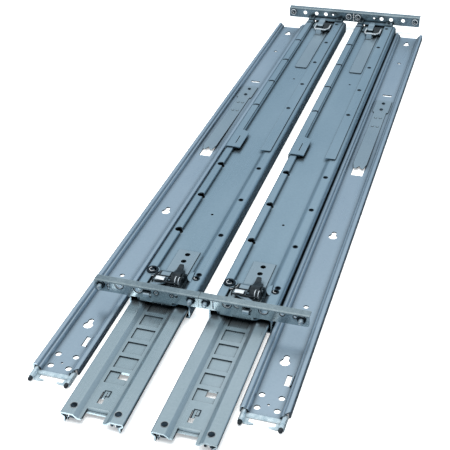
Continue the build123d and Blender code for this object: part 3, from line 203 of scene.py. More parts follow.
# Front latch
RIM_LEFT, RIM_SHEET, RIM_WIDTH = -12.4, 1.0, 1.1
RIM_LINE = ((17.6, 17.4), (18.6, 19.8), (28.0, 19.8), (31.0, 17.8))
RIM_BARS = (((9.6, 18.0, 19.2), 0.65), ((0.2, 25.1, 19.7), 0.6))
TONGUE_LEFT, TONGUE_SHEET, TONGUE_WIDTH = -10.2, 0.5, 7.6
TONGUE_LINE = ((19.6, 19.3), (20.8, 20.0), (23.2, 20.0), (24.2, 19.4))
BARREL_ALONG, BARREL_UP = 25.5, 16.2
LATCH_ARCS = [((8.4, 0, 0), 3.2, (55, 205), 0.4), ((5.6, 0, 0), 3.6, (55, 205), 0.4)]

# Rear latch, given along from the rear bracket's face
WIRE_RADIUS = 0.95
WIRE_LINE = ((-9.2, -35.0, 18.4), (-9.2, -49.0, 18.4), (-7.4, -52.0, 18.2), (5.6, -52.0, 18.2), (9.4, -47.5, 18.4),
             (9.4, -35.0, 18.4))
REAR_TONGUE_LEFT, REAR_TONGUE_SHEET, REAR_TONGUE_WIDTH = -6.5, 0.7, 6.8
REAR_TONGUE_LINE = ((-56.5, 12.2), (-54.5, 12.6), (-52.4, 17.6), (-48.0, 18.2))

# Middle rail's front end, given along from its edge, from the notch's end and from the front slot's middle
END_RIVET_OUT, END_RIVET_INSET = 16.6, 8.6
RIVET_RING = [((0, 0, 0.1), 2.8, None, 0.14)]
STRIP_FROM, STRIP_TO = 12.5, 22.6
COMB_TOP, COMB_BACK, COMB_FOOT = 7.8, 7.0, 4.9
COMB_TEETH, TOOTH_SHARE = 3, 0.62
COMB_INSET, COMB_SHEET = 1.0, 0.7
# Dark blocks under the strips' front edges, as painted shade
BLOCK_SHARES = ((0.14, 0.30), (0.55, 0.96))
BLOCK_TOP, BLOCK_FOOT = 6.8, 5.2
BLOCK_INSET, BLOCK_DEPTH = 0.6, 0.4
NOTCH_HALF, NOTCH_DEPTH, NOTCH_SHEET = 8.0, 12.2, 0.5
NOTCH_LINE = ((0.4, 6.5), (-0.9, 6.3), (-1.8, 5.4), (-2.1, 4.2))
WINDOW_START = 38.6
# Dark rod along the front slot's edges, as painted shade of its walls
SLOT_ROD = 0.42
SLOT_LINE = ((-2.7, -3.4), (-2.7, 5.2), (1.9, 5.2), (1.9, -0.4), (-0.7, -0.4))

# Hook slots and dimples of the extension, with dark plates and rods that paint the shade in and round them, and the
# dents of the outer rail
HOOK_COUNT, HOOK_PITCH, HOOK_REAR_INSET = 5, 66.6, 22.0
HOOK_SLOT_ACROSS, HOOK_SLOT_WIDTH, HOOK_SLOT_LENGTH = -21.15, 4.6, 1.8
HOOK_SLOT_SHADE = [((0, -2.6, -0.1), 3.7, (35, 155), 0.7)]
DIMPLE_ACROSS, DIMPLE_RADIUS = 15.0, 1.8
DIMPLE_SHADE_RIM = [((0, 0, -0.1), DIMPLE_RADIUS, None, 0.5)]
DIMPLE_BOWL = ((DIMPLE_RADIUS, 0.0), (0.6, 0.3))
WELL_DEPTH, WELL_SINK = 1.0, 0.05
DENT_ACROSS, DENT_START, DENT_PITCH, DENT_COUNT = 19.35, 102.4, 61.8, 3
DENT_LIP = [((0, 0, 0), 2.0, None, 0.35)]

# Pegs and pins of the brackets, and how far the rear bracket reaches behind its face
PEG_HEIGHT, PEG_SETOUT, PEG_COLLAR_RADIUS = 20.0, 0.9, 3.1
PEG_RINGS = [((0, 0, 0), 3.0, None, 0.38), ((0, -0.1, 0), 2.3, None, 0.25)]
PEG_GLINT = [((0, -4.0, 0), 1.1, (60, 330), 0.3)]
PIN_COLLAR_RADIUS, PIN_SHEET = 4.0, 1.5
# Washers, and a small bright arc on each as a painted glint
PIN_WASHERS_AND_GLINTS = [((0, 0, 0), 3.4, None, 0.65), ((0, -0.3, 0), 1.3, (100, 330), 0.4)]
PIN_RINGS = [((0, -0.1, 0), 2.4, None, 0.5)]
REAR_FLANGE = 8.7

# Half-moons pressed into the front brackets, each drawn as a dark line of painted shade with a bright arc of painted
# highlight inside it: across from the gap between them, up, radius, and the arc's ends
OUTLINE_SETOUT, OUTLINE_ROD = 0.05, 0.27
# Bright arc of painted highlight just inside each dark line
OUTLINE_HIGHLIGHT_RISE, OUTLINE_HIGHLIGHT_INSET, OUTLINE_HIGHLIGHT_ROD = 0.1, 0.65, 0.22
BRACKET_ARCS = {
    "left": [
        (-22.0, 20.8, 1.7, 0, 340),
        (-35.0, 20.9, 2.1, 0, 340),
        (-50.2, 21.9, 4.0, 180, 360),
        (-66.5, 22.2, 3.7, 180, 360),
        (-75.6, 20.2, 1.6, 60, 300),
    ],
    "right": [
        (23.3, 22.2, 3.7, 180, 360),
        (31.5, 23.2, 3.0, 200, 300),
        (39.9, 21.2, 3.2, 190, 350),
        (52.4, 22.2, 3.9, 180, 360),
        (67.1, 22.3, 2.2, 180, 360),
        (77.2, 21.2, 1.6, 0, 340),
    ],
}

# Front guide of the loose rails. The arm and the buffer's root are given across from the rail's middle and up, the
# band along from the rail's end and up, and the buffer's tip as rings of a radius at a distance.
GUIDE_REACH, GUIDE_OVERLAP, GUIDE_SHEET = 10.5, 2.5, 0.7
GUIDE_ARM = ((16.2, 0.7), (16.1, 2.6), (15.6, 3.7), (14.6, 4.2), (13.6, 3.8), (12.9, 2.4), (12.6, 1.2), (11.9, 0.6),
             (9.6, 0.6))
GUIDE_BAND_HALF, GUIDE_BAND_SHEET = 12.6, 0.6
GUIDE_BAND = ((-0.2, 1.3), (-1.2, 1.9), (-3.4, 1.9), (-4.4, 0.9))
BUFFER_ROOT = ((13.3, 0.9), (15.7, 0.9), (15.6, 2.9), (14.6, 3.6), (13.5, 3.1))
BUFFER_ROOT_START, BUFFER_ROOT_LENGTH = 5.6, 5.2
BUFFER_TIP = ((1.2, 0.0), (1.6, 0.4), (1.7, 1.6), (1.5, 2.9), (0.9, 3.7), (0.3, 4.0))
BUFFER_OUT, BUFFER_UP, BUFFER_OVERLAP = 14.4, 2.4, 0.6

# Tongues of the guide's feet: across from the rail's middle, and along from the arms' ends
GUIDE_TONGUE = ((9.8, 0.0), (9.8, 2.8), (5.2, 2.2), (5.2, 0.8), (8.2, 0.0))
GUIDE_TONGUE_UP, GUIDE_TONGUE_SHEET = 0.2, 0.6


class Nodes:
    """Adds nodes to the tree of a material or of the world, and links them."""

    def __init__(self, owner, shader="Principled BSDF"):
        owner.use_nodes = True
        self.tree = owner.node_tree
        self.shader = self.tree.nodes[shader]

    def add(self, kind, **values):
        """Node of a kind, with values for its sockets and settings."""
        node = self.tree.nodes.new(kind)
        for key, value in values.items():
            if key in node.inputs:
                node.inputs[key].default_value = value
            else:
                setattr(node, key, value)
        return node

    def link(self, source, target):
        self.tree.links.new(source, target)

    def place(self, stretch=(1, 1, 1)):
        """The surface's own coordinates in metres, stretched."""
        where = self.add("ShaderNodeTexCoord")
        mapping = self.add("ShaderNodeMapping")
        mapping.inputs["Scale"].default_value = stretch
        self.link(where.outputs["Object"], mapping.inputs["Vector"])
        return mapping.outputs["Vector"]

    def noise(self, scale, detail=3.0, stretch=(1, 1, 1)):
        """Soft noise over the surface."""
        node = self.add("ShaderNodeTexNoise", Scale=scale, Detail=detail)
        self.link(self.place(stretch), node.inputs["Vector"])
        return node.outputs["Fac"]

    def ramp(self, source, limits, values=(0.0, 1.0), kind="LINEAR"):
        """Maps a value between two limits to a range."""
        node = self.add("ShaderNodeMapRange", interpolation_type=kind)
        node.inputs["From Min"].default_value, node.inputs["From Max"].default_value = limits
        node.inputs["To Min"].default_value, node.inputs["To Max"].default_value = values
        self.link(source, node.inputs["Value"])
        return node.outputs["Result"]

    def combine(self, operation, first, second):
        """Sum or other operation on two values."""
        node = self.add("ShaderNodeMath", operation=operation)
        self.link(first, node.inputs[0])
        if isinstance(second, float):
            node.inputs[1].default_value = second
        else:
            self.link(second, node.inputs[1])
        return node.outputs["Value"]

    def blend(self, factor, first, second):
        """Colour between two colours."""
        node = self.add("ShaderNodeMix", data_type="RGBA")
        for socket, colour in ((node.inputs[6], first), (node.inputs[7], second)):
            if isinstance(colour, tuple):
                socket.default_value = (*colour, 1.0)
            else:
                self.link(colour, socket)
        self.link(factor, node.inputs[0])
        return node.outputs[2]

    def corners(self, reach, limits, most):
        """How far a spot lies in a corner or under an edge, by the light that reaches it; the mask of the painted
        shade.
        """
        node = self.add("ShaderNodeAmbientOcclusion", Distance=reach, samples=8)
        return self.ramp(node.outputs["AO"], limits, (0.0, most))

    def edges(self, reach, limits, most):
        """How near a spot lies to a sharp edge."""
        rounded = self.add("ShaderNodeBevel", Radius=reach, samples=6)
        flat = self.add("ShaderNodeNewGeometry")
        compare = self.add("ShaderNodeVectorMath", operation="DOT_PRODUCT")
        self.link(rounded.outputs["Normal"], compare.inputs[0])
        self.link(flat.outputs["Normal"], compare.inputs[1])
        turned = self.combine("SUBTRACT", compare.outputs["Value"], 1.0)
        return self.ramp(self.combine("ABSOLUTE", turned, 0.0), limits, (0.0, most))

    def bump(self, height, strength, distance):
        """Gives the surface small bumps."""
        node = self.add("ShaderNodeBump", Strength=strength, Distance=distance)
        self.link(height, node.inputs["Height"])
        self.link(node.outputs["Normal"], self.shader.inputs["Normal"])


def sheet_metal(name, light, dark, roughness, mottle, speckle, painted_shade):
    """Plated sheet: rolled grain along the rail, soft mottling, edges lightened by wear and by a painted highlight,
    and painted shade in corners.
    """
    material = bpy.data.materials.new(name)
    nodes = Nodes(material)
    nodes.shader.inputs["Metallic"].default_value = SHEET_METALLIC
    blotches = nodes.noise(scale=26.0, detail=3.0, stretch=(1.0, 0.3, 1.0))
    spangle = nodes.noise(scale=520.0, detail=2.0)
    grain = nodes.noise(scale=1100.0, detail=2.0, stretch=(1.0, 0.03, 1.0))
    fine = nodes.combine("ADD", nodes.ramp(spangle, (0.3, 0.7), (-speckle, speckle)), 0.5)
    tone = nodes.combine("ADD", nodes.ramp(blotches, (0.25, 0.75), (-mottle, mottle)), fine)
    colour = nodes.blend(nodes.ramp(tone, (0.0, 1.0)), dark, light)
    # Edges lightened: partly wear, partly a painted highlight
    colour = nodes.blend(nodes.edges(EDGE_REACH, EDGE_LIMITS, EDGE_WEAR_AND_HIGHLIGHT), colour, EDGE_BRIGHT)
    # Painted shade: darker where ambient occlusion finds corners and overhangs
    colour = nodes.blend(nodes.corners(CORNER_REACH, CORNER_LIMITS, painted_shade), colour, CORNER_SHADE)
    nodes.link(colour, nodes.shader.inputs["Base Color"])
    rough = nodes.combine("ADD", nodes.ramp(blotches, (0.3, 0.7), (-0.05, 0.05)),
                          nodes.ramp(grain, (0.3, 0.7), (-0.04, 0.04)))
    nodes.link(nodes.combine("ADD", rough, roughness), nodes.shader.inputs["Roughness"])
    nodes.bump(nodes.combine("ADD", grain, spangle), strength=0.10, distance=0.0002)
    return material


def plated(name, light, dark, roughness, metallic, painted_shade):
    """Small plated, black or steel piece with a fine uneven surface and painted shade in its corners."""
    material = bpy.data.materials.new(name)
    nodes = Nodes(material)
    nodes.shader.inputs["Metallic"].default_value = metallic
    wear = nodes.noise(scale=260.0, detail=4.0)
    colour = nodes.blend(nodes.ramp(wear, (0.35, 0.65)), dark, light)
    # Painted shade: darker where ambient occlusion finds corners and overhangs
    colour = nodes.blend(nodes.corners(SMALL_CORNER_REACH, SMALL_CORNER_LIMITS, painted_shade), colour, CORNER_SHADE)
    nodes.link(colour, nodes.shader.inputs["Base Color"])
    nodes.link(nodes.ramp(wear, (0.3, 0.7), (roughness + 0.08, roughness)), nodes.shader.inputs["Roughness"])
    nodes.bump(nodes.noise(scale=1400.0, detail=2.0), strength=0.08, distance=0.0001)
    return material


def finishes():
    """Material for each of the record's slots, and for the kinds of piece that differ within a slot."""
    made = {finish: sheet_metal(*values) for finish, values in SHEETS.items()}
    made.update({finish: plated(*values) for finish, values in SMALL_PIECES.items()})
    return made


def dress_nodes(made):
    """Gives every CAD node its finish by the slot that it names."""
    for name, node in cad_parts.items():
        for holder in node.material_slots:
            slot_name = holder.material.name.split(".")[0]
            holder.material = made[OWN_FINISH.get(name.split("_", 1)[1], slot_name)]


class Form:
    """Mesh of one dressed piece, given in millimetres, that rides on one body."""

    def __init__(self):
        self.mesh = bmesh.new()

    def sheet(self, line, thickness, run):
        """Bent sheet: a line across the run, given half the thickness to each side."""
        along = run.normalized()
        sides = [[], []]
        for index, point in enumerate(line):
            before = line[max(index - 1, 0)]
            after = line[min(index + 1, len(line) - 1)]
            out = (after - before).normalized().cross(along) * thickness / 2
            sides[0].append(point + out)
            sides[1].append(point - out)
        outline = sides[0] + sides[1][::-1]
        near = [self.mesh.verts.new(point * MM) for point in outline]
        far = [self.mesh.verts.new((point + run) * MM) for point in outline]
        count = len(outline)
        for index in range(count):
            following = (index + 1) % count
            self.mesh.faces.new((near[index], near[following], far[following], far[index]))
        for index in range(len(line) - 1):
            other = count - 1 - index
            for end in (near, far):
                self.mesh.faces.new((end[index], end[index + 1], end[other - 1], end[other]))

    def plate(self, outline, run):
        """Flat plate: a closed outline moved along the run."""
        near = [self.mesh.verts.new(point * MM) for point in outline]
        far = [self.mesh.verts.new((point + run) * MM) for point in outline]
        for index in range(len(outline)):
            following = (index + 1) % len(outline)
            self.mesh.faces.new((near[index], near[following], far[following], far[index]))
        self.mesh.faces.new(near)
        self.mesh.faces.new(far)

    def rod(self, line, normal, radius, closed=False):
        """Round rod along a line that lies in one plane."""
        rings = []
        for index, point in enumerate(line):
            before = line[index - 1] if closed or index else line[0]
            after = line[(index + 1) % len(line)] if closed or index < len(line) - 1 else line[-1]
            out = (after - before).normalized().cross(normal)
            ring = [point + radius * (cos(turn) * out + sin(turn) * normal) for turn in turns(ROD_SIDES)]
            rings.append([self.mesh.verts.new(spot * MM) for spot in ring])
        pairs = list(zip(rings, rings[1:]))
        if closed:
            pairs.append((rings[-1], rings[0]))
        for ring, following in pairs:
            for index in range(ROD_SIDES):
                other = (index + 1) % ROD_SIDES
                self.mesh.faces.new((ring[index], ring[other], following[other], following[index]))
        if not closed:
            self.mesh.faces.new(rings[0])
            self.mesh.faces.new(rings[-1])

    def turned(self, centre, axis, profile):
        """Turned form: rings of a radius at a distance along the axis, closed at both ends."""
        out = axis.orthogonal().normalized()
        other_way = axis.cross(out)
        rings = []
        for radius, distance in profile:
            middle = centre + axis * distance
            ring = [middle + radius * (cos(turn) * out + sin(turn) * other_way) for turn in turns(TURNED_SIDES)]
            rings.append([self.mesh.verts.new(spot * MM) for spot in ring])
        for ring, following in zip(rings, rings[1:]):
            for index in range(TURNED_SIDES):
                other = (index + 1) % TURNED_SIDES
                self.mesh.faces.new((ring[index], ring[other], following[other], following[index]))
        self.mesh.faces.new(rings[0])
        self.mesh.faces.new(rings[-1])

    def rounds(self, place, out, up, rounds):
        """Rods bent to arcs and whole circles in the plane of two directions."""
        normal = out.cross(up)
        for offset, radius, ends, thickness in rounds:
            centre = place + Vector(offset)
            if ends:
                self.rod(arc(centre, out, up, radius, *ends), normal, thickness)
            else:
                self.rod(circle(centre, out, up, radius), normal, thickness, closed=True)

    def finish(self, name, body, slot, finish, bevel=0.0):
        """Makes the piece, with its edges broken by a bevel, and rides it on its body; the slot argument is not used.
        """
        bmesh.ops.recalc_face_normals(self.mesh, faces=self.mesh.faces)
        mesh = bpy.data.meshes.new(name)
        self.mesh.to_mesh(mesh)
        self.mesh.free()
        mesh.shade_smooth()
        mesh.set_sharp_from_angle(angle=SHARP_ANGLE)
        mesh.materials.append(finish_of[finish])
        piece = bpy.data.objects.new(name, mesh)
        if bevel:
            edges = piece.modifiers.new("broken_edges", "BEVEL")
            edges.width = bevel * MM
            edges.segments = 2
        bpy.context.collection.objects.link(piece)
        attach(piece, body)
        return piece


def turns(count):
    """Evenly spaced turns round a circle."""
    return [2 * pi * step / count for step in range(count)]


def arc(centre, out, up, radius, start, end, steps=16):
    """Points of an arc in the plane of two directions, from one angle in degrees to another."""
    angles = [radians(start + (end - start) * step / steps) for step in range(steps + 1)]
    return [centre + radius * (cos(angle) * out + sin(angle) * up) for angle in angles]


def circle(centre, out, up, radius, steps=24):
    """Points of a whole circle."""
    return arc(centre, out, up, radius, 0, 360 - 360 / steps, steps - 1)


class Slide:
    """Places on one slide: across from its middle, along from the front bracket's face, and up."""

    def __init__(self, side):
        self.side = side
        low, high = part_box(f"{side}_outer_rail")
        self.middle = (low[0] + high[0]) / 2 / MM
        self.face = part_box(f"{side}_front_bracket")[0][1] / MM
        self.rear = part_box(f"{side}_rear_bracket")[1][1] / MM - REAR_FLANGE - self.face
        self.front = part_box(f"{side}_middle_rail")[0][1] / MM - self.face
        self.brackets_middle = (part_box("left_front_bracket")[1][0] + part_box("right_front_bracket")[0][0]) / 2 / MM

    def at(self, across, along, up):
        return Vector((self.middle + across, self.face + along, up))

    def line(self, across, profile):
        """Line along the slide, at one place across it."""
        return [self.at(across, along, up) for along, up in profile]

    def collars(self, kind, radius):
        """Places across of the two outermost collars of a kind of piece, as X of the frame."""
        low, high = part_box(f"{self.side}_{kind}")
        return [low[0] / MM + radius, high[0] / MM - radius]


def make_nose(slide, name, outline, rise):
    """Rounded end of a strip: its outline, let down from the strip's top."""
    form = Form()
    form.plate([point - NOSE_DROP * Z for point in outline], (NOSE_DROP + rise) * Z)
    form.finish(f"{slide.side}_{name}", f"{slide.side}_slide", "rail_zinc", "slide_zinc", NOSE_BEVEL)


def dress_ring(slide):
    """Rounded end of the left strip, with the dark ring of the bracket's ear and the bright arcs of its painted
    highlights.
    """
    body = f"{slide.side}_slide"
    centre = slide.at(RING_ACROSS, RING_ALONG, STRIP_TOP)
    start, end = STRIP_NOSE_ENDS
    outer = arc(centre, X, Y, STRIP_NOSE_RADIUS, start, end)
    make_nose(slide, "strip_nose", outer + arc(centre, X, Y, RING_RADIUS, end, start), STRIP_NOSE_RISE)
    seal, lips = Form(), Form()
    seal.rounds(centre, X, Y, RING_SEAL)
    seal.finish(f"{slide.side}_ring_seal", body, "dark_rivet", "dark_rivet")
    # Painted highlights of the ring
    lips.rounds(centre, X, Y, RING_HIGHLIGHTS)
    lips.finish(f"{slide.side}_ring_highlights", body, "bright_chrome", "bright_chrome")


def dress_dots(slide):
    """Rounded end of the right strip beside the pair of holes, with the holes' dark lips."""
    body = f"{slide.side}_slide"
    centre = slide.at(DOTS_ACROSS, DOTS_ALONG, STRIP_TOP)
    outline = arc(centre, X, Y, SHOULDER_NOSE_RADIUS, *SHOULDER_NOSE_ENDS)
    make_nose(slide, "shoulder_nose", outline, SHOULDER_NOSE_RISE)
    lips, glints = Form(), Form()
    lips.rounds(centre, X, Y, DOT_LIPS)
    lips.finish(f"{slide.side}_dot_lips", body, "dark_rivet", "dark_rivet")
    glints.rounds(centre, X, Y, DOT_GLINTS)
    glints.finish(f"{slide.side}_dot_glints", body, "bright_chrome", "bright_chrome")


def dress_front_latch(slide):
    """Black rim and bright tongue of the front latch, which turn with it, and the arcs that stay on the slide."""
    body = f"{slide.side}_front_latch"
    rim, tongue, arcs = Form(), Form(), Form()
    rim.sheet(slide.line(RIM_LEFT, RIM_LINE), RIM_SHEET, RIM_WIDTH * X)
    for (across, along, up), radius in RIM_BARS:
        rim.rod([slide.at(RIM_LEFT, along, up), slide.at(across, along, up)], Z, radius)
    rim.finish(f"{slide.side}_latch_rim", body, "latch_black", "latch_black", bevel=0.2)
    tongue.sheet(slide.line(TONGUE_LEFT, TONGUE_LINE), TONGUE_SHEET, TONGUE_WIDTH * X)
    tongue.finish(f"{slide.side}_latch_tongue", body, "bright_chrome", "bright_chrome", bevel=0.12)
    arcs.rounds(slide.at(0, BARREL_ALONG, BARREL_UP), Y, Z, LATCH_ARCS)
    arcs.finish(f"{slide.side}_latch_arcs", f"{slide.side}_slide", "bright_chrome", "bright_chrome")


def dress_rear_latch(slide):
    """Bright U-shaped wire round the rear latch's window, and its tongue, which turn with it."""
    body = f"{slide.side}_rear_latch"
    wire, tongue = Form(), Form()
    wire.rod([slide.at(across, slide.rear + along, up) for across, along, up in WIRE_LINE], Z, WIRE_RADIUS)
    wire.finish(f"{slide.side}_rear_latch_wire", body, "bright_chrome", "bright_chrome")
    profile = [(slide.rear + along, up) for along, up in REAR_TONGUE_LINE]
    tongue.sheet(slide.line(REAR_TONGUE_LEFT, profile), REAR_TONGUE_SHEET, REAR_TONGUE_WIDTH * X)
    tongue.finish(f"{slide.side}_rear_latch_tongue", body, "bright_chrome", "spring_steel", bevel=0.15)


def dress_strip_ends(slide):
    """Rivet rings of the middle rail's strips, the comb of the ends folded under their edges, and dark blocks that
    paint the shade beneath those edges.
    """
    body = f"{slide.side}_middle"
    rings, combs, blocks = Form(), Form(), Form()
    for across in (-END_RIVET_OUT, END_RIVET_OUT):
        rings.rounds(slide.at(across, slide.front + END_RIVET_INSET, MIDDLE_TOP), X, Y, RIVET_RING)
    for inner, outer in ((-STRIP_TO, -STRIP_FROM), (STRIP_FROM, STRIP_TO)):
        pitch = (outer - inner) / COMB_TEETH
        comb = [(inner, COMB_TOP), (outer, COMB_TOP)]
        for step in range(COMB_TEETH):
            start = outer - pitch * step
            gap = start - pitch * TOOTH_SHARE
            comb += [(start, COMB_FOOT), (gap, COMB_FOOT), (gap, COMB_BACK), (start - pitch, COMB_BACK)]
        combs.plate([slide.at(across, slide.front + COMB_INSET, up) for across, up in comb], COMB_SHEET * Y)
        # Painted shade under the folded ends
        for shares in BLOCK_SHARES:
            start, end = (inner + (outer - inner) * share for share in shares)
            block = ((start, BLOCK_TOP), (end, BLOCK_TOP), (end, BLOCK_FOOT), (start, BLOCK_FOOT))
            blocks.plate([slide.at(across, slide.front + BLOCK_INSET, up) for across, up in block], BLOCK_DEPTH * Y)
    rings.finish(f"{slide.side}_rivet_rings", body, "bright_chrome", "bright_chrome")
    combs.finish(f"{slide.side}_strip_ends", body, "bright_chrome", "bright_chrome", bevel=0.12)
    blocks.finish(f"{slide.side}_strip_shades", body, "dark_rivet", "dark_rivet")


def dress_channel(slide):
    """Bright lip of the notch, and dark rods along the edges of the front slot in the middle rail's channel that paint
    the shade of its walls.
    """
    body = f"{slide.side}_middle"
    lip, slot_shade_rods = Form(), Form()
    notch = slide.front + NOTCH_DEPTH
    profile = [(notch + along, up) for along, up in NOTCH_LINE]
    lip.sheet(slide.line(-NOTCH_HALF, profile), NOTCH_SHEET, 2 * NOTCH_HALF * X)
    lip.finish(f"{slide.side}_notch_lip", body, "bright_chrome", "middle_zinc", bevel=0.1)
    slot = slide.front + (NOTCH_DEPTH + WINDOW_START) / 2
    # Painted shade along the slot's edges
    slot_shade_rods.rod([slide.at(across, slot + along, CHANNEL_TOP) for across, along in SLOT_LINE], Z, SLOT_ROD)
    slot_shade_rods.finish(f"{slide.side}_slot_shade_rods", body, "dark_rivet", "dark_rivet")


def dress_rows(slide):
    """Dark plates that paint the shade inside the hook slots and dimples along the extension's strips, and dark rods
    that paint the shade along their rims.
    """
    body = f"{slide.side}_extension"
    wells, lips = Form(), Form()
    left, right = HOOK_SLOT_ACROSS - HOOK_SLOT_WIDTH / 2, HOOK_SLOT_ACROSS + HOOK_SLOT_WIDTH / 2
    floor = EXTENSION_TOP - WELL_DEPTH
    for step in range(HOOK_COUNT):
        along = slide.rear - HOOK_REAR_INSET - HOOK_PITCH * step
        near, far = along - HOOK_SLOT_LENGTH / 2, along + HOOK_SLOT_LENGTH / 2
        slot = [slide.at(across, y, floor) for across, y in ((left, near), (right, near), (right, far), (left, far))]
        # Painted shade: a dark plate in the slot, a dark arc before it, a dark bowl in the dimple and a dark ring
        # round it
        wells.plate(slot, (WELL_DEPTH - WELL_SINK) * Z)
        lips.rounds(slide.at(HOOK_SLOT_ACROSS, along, EXTENSION_TOP), X, Y, HOOK_SLOT_SHADE)
        dimple = slide.at(DIMPLE_ACROSS, along, EXTENSION_TOP)
        wells.turned(dimple - WELL_SINK * Z, -Z, DIMPLE_BOWL)
        lips.rounds(dimple, X, Y, DIMPLE_SHADE_RIM)
    wells.finish(f"{slide.side}_row_wells", body, "dark_rivet", "latch_black")
    lips.finish(f"{slide.side}_row_shade_rims", body, "dark_rivet", "dark_rivet")


def dress_dents(slide):
    """Dark lips of the dents along the outer rail's right strip."""
    dents = Form()
    for step in range(DENT_COUNT):
        dents.rounds(slide.at(DENT_ACROSS, DENT_START + DENT_PITCH * step, STRIP_TOP), X, Y, DENT_LIP)
    dents.finish(f"{slide.side}_dent_lips", f"{slide.side}_slide", "dark_rivet", "dark_rivet")


def dress_bracket(slide):
    """Dark lines of painted shade and bright arcs of painted highlight along the pressed half-moons, and the dark
    rings and painted glints of the front bracket's pegs.
    """
    body = f"{slide.side}_slide"
    lines, lips = Form(), Form()
    for across, up, radius, *ends in BRACKET_ARCS[slide.side]:
        centre = Vector((slide.brackets_middle + across, slide.face - OUTLINE_SETOUT, up))
        # Painted shade along the half-moon, and a painted highlight just inside it
        lines.rounds(centre, X, Z, [((0, 0, 0), radius, ends, OUTLINE_ROD)])
        lips.rounds(centre, X, Z, [((0, 0, OUTLINE_HIGHLIGHT_RISE), radius - OUTLINE_HIGHLIGHT_INSET, ends, OUTLINE_HIGHLIGHT_ROD)])
    for across in slide.collars("front_pegs", PEG_COLLAR_RADIUS):
        centre = Vector((across, slide.face - PEG_SETOUT, PEG_HEIGHT))
        lines.rounds(centre, X, Z, PEG_RINGS)
        # Painted glint on the peg
        lips.rounds(centre, X, Z, PEG_GLINT)
    lines.finish(f"{slide.side}_bracket_lines", body, "dark_rivet", "dark_rivet")
    lips.finish(f"{slide.side}_bracket_highlights", body, "bright_chrome", "bright_chrome")


def dress_rear_bracket(slide):
    """Bright washers, each with a painted glint, and dark rings of the rear bracket's pins."""
    body = f"{slide.side}_extension"
    low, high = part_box(f"{slide.side}_rear_pins")
    washers, rings = Form(), Form()
    for across in slide.collars("rear_pins", PIN_COLLAR_RADIUS):
        centre = Vector((across, slide.face + slide.rear - PIN_SHEET, (low[2] + high[2]) / 2 / MM))
        # Washer and its painted glint
        washers.rounds(centre, X, Z, PIN_WASHERS_AND_GLINTS)
        rings.rounds(centre, X, Z, PIN_RINGS)
    washers.finish(f"{slide.side}_pin_washers_and_glints", body, "bright_chrome", "bright_chrome")
    rings.finish(f"{slide.side}_pin_rings", body, "dark_rivet", "dark_rivet")


def dress_guide(side):
    """Front guide of the loose rail: two arched arms with feet and tongues, a cross band and rubber tips."""
    body = f"{side}_chassis"
    low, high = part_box(f"{side}_chassis_rail")
    middle, front = (low[0] + high[0]) / 2 / MM, low[1] / MM
    start = front - GUIDE_REACH
    arms, tips = Form(), Form()
    for way in (-1, 1):
        arm = [Vector((middle + way * across, start, up)) for across, up in GUIDE_ARM]
        arms.sheet(arm, GUIDE_SHEET, (GUIDE_REACH + GUIDE_OVERLAP) * Y)
        tongue = [Vector((middle + way * across, start + along, GUIDE_TONGUE_UP)) for across, along in GUIDE_TONGUE]
        arms.plate(tongue, GUIDE_TONGUE_SHEET * Z)
        root = [Vector((middle + way * across, front - BUFFER_ROOT_START, up)) for across, up in BUFFER_ROOT]
        tips.plate(root, BUFFER_ROOT_LENGTH * Y)
        tip = Vector((middle + way * BUFFER_OUT, start + BUFFER_OVERLAP, BUFFER_UP))
        tips.turned(tip, -Y, BUFFER_TIP)
    band = [Vector((middle - GUIDE_BAND_HALF, front + along, up)) for along, up in GUIDE_BAND]
    arms.sheet(band, GUIDE_BAND_SHEET, 2 * GUIDE_BAND_HALF * X)
    guide = arms.finish(f"{side}_guide_arms", body, "bright_chrome", "guide_chrome", bevel=0.12)
    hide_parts(f"{side}_end_guide")
    rubber = tips.finish(f"{side}_guide_tips", body, "rubber_black", "rubber_black", bevel=0.2)
    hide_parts(f"{side}_end_buffers")


def make_floor():
    """Pale floor that carries the pair."""
    mesh = bpy.data.meshes.new("floor")
    build = bmesh.new()
    bmesh.ops.create_grid(build, x_segments=1, y_segments=1, size=FLOOR_HALF)
    build.to_mesh(mesh)
    build.free()
    floor = bpy.data.objects.new("floor", mesh)
    floor.location.z = CAD_BOX[0][2]
    bpy.context.collection.objects.link(floor)
    material = bpy.data.materials.new("pale_floor")
    nodes = Nodes(material)
    tone = nodes.ramp(nodes.noise(scale=3.0), (0.3, 0.7))
    nodes.link(nodes.blend(tone, FLOOR_WHITE, FLOOR_WHITEST), nodes.shader.inputs["Base Color"])
    nodes.shader.inputs["Roughness"].default_value = FLOOR_ROUGHNESS
    nodes.shader.inputs["Emission Color"].default_value = (1.0, 1.0, 1.0, 1.0)
    nodes.shader.inputs["Emission Strength"].default_value = FLOOR_GLOW
    mesh.materials.append(material)
    floor.visible_glossy = False


def make_lights():
    """Soft panels that look at the set's middle and don't show in its gloss."""
    for name, (place, (width, height), power) in PANELS.items():
        data = bpy.data.lights.new(name, "AREA")
        data.shape = "RECTANGLE"
        data.size, data.size_y = width, height
        data.energy = power
        lamp = bpy.data.objects.new(name, data)
        lamp.location = place
        lamp.rotation_euler = (-Vector(place)).to_track_quat("-Z", "Y").to_euler()
        lamp.visible_glossy = False
        bpy.context.collection.objects.link(lamp)


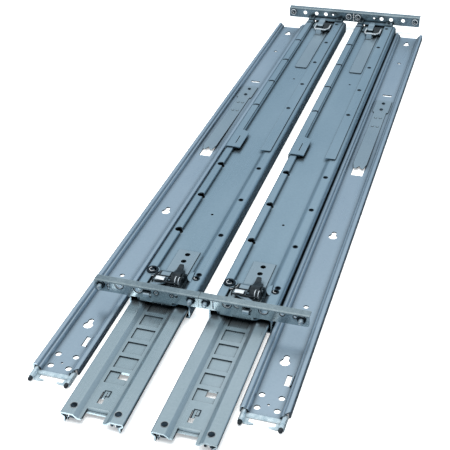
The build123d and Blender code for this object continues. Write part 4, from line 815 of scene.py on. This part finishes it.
def make_room():
    """Studio room: bright ceiling, blue-grey walls, a dark surround below, and a card and bright patch in front."""
    world = bpy.data.worlds.new("room")
    bpy.context.scene.world = world
    nodes = Nodes(world, "Background")
    where = nodes.add("ShaderNodeTexCoord").outputs["Generated"]
    split = nodes.add("ShaderNodeSeparateXYZ")
    nodes.link(where, split.inputs["Vector"])
    across, depth, height = split.outputs
    walls = nodes.add("ShaderNodeValToRGB")
    nodes.link(nodes.ramp(height, (-1.0, 1.0)), walls.inputs["Fac"])
    stops = walls.color_ramp.elements
    for stop, (position, colour) in zip(stops, (ROOM[0], ROOM[-1])):
        stop.position = position
        stop.color = (*colour, 1.0)
    for position, colour in ROOM[1:-1]:
        stops.new(position).color = (*colour, 1.0)
    card = nodes.blend(nodes.ramp(across, CARD_ACROSS), CARD_LEFT, CARD_RIGHT)
    cover = nodes.combine("MULTIPLY", nodes.ramp(depth, CARD_DEPTH), nodes.ramp(height, CARD_HEIGHT))
    room = nodes.blend(cover, walls.outputs["Color"], card)
    nearness = nodes.add("ShaderNodeVectorMath", operation="DOT_PRODUCT")
    nearness.inputs[1].default_value = Vector(PATCH_DIRECTION).normalized()
    nodes.link(where, nearness.inputs[0])
    patch = nodes.ramp(nearness.outputs["Value"], PATCH_NEARNESS, kind="SMOOTHSTEP")
    nodes.link(nodes.blend(patch, room, PATCH_LIGHT), nodes.shader.inputs["Color"])


def make_camera():
    """Camera at the photograph's viewing angle."""
    data = bpy.data.cameras.new("photo_camera")
    data.lens = LENS
    data.sensor_width = SENSOR
    data.clip_start = 0.01
    camera = bpy.data.objects.new("photo_camera", data)
    turn = Matrix.Rotation(CAMERA_YAW, 4, "Z") @ Matrix.Rotation(radians(90) - CAMERA_PITCH, 4, "X")
    camera.matrix_world = Matrix.Translation(CAMERA_PLACE) @ turn @ Matrix.Rotation(CAMERA_ROLL, 4, "Z")
    bpy.context.collection.objects.link(camera)
    bpy.context.scene.camera = camera


finish_of = finishes()
dress_nodes(finish_of)
for hand in ("left", "right"):
    slide_on_hand = Slide(hand)
    dress_ring(slide_on_hand)
    dress_dots(slide_on_hand)
    dress_front_latch(slide_on_hand)
    dress_rear_latch(slide_on_hand)
    dress_strip_ends(slide_on_hand)
    dress_channel(slide_on_hand)
    dress_rows(slide_on_hand)
    dress_dents(slide_on_hand)
    dress_bracket(slide_on_hand)
    dress_rear_bracket(slide_on_hand)
    dress_guide(hand)
make_floor()
make_room()
make_lights()
make_camera()
bpy.context.scene.view_settings.view_transform = "Standard"
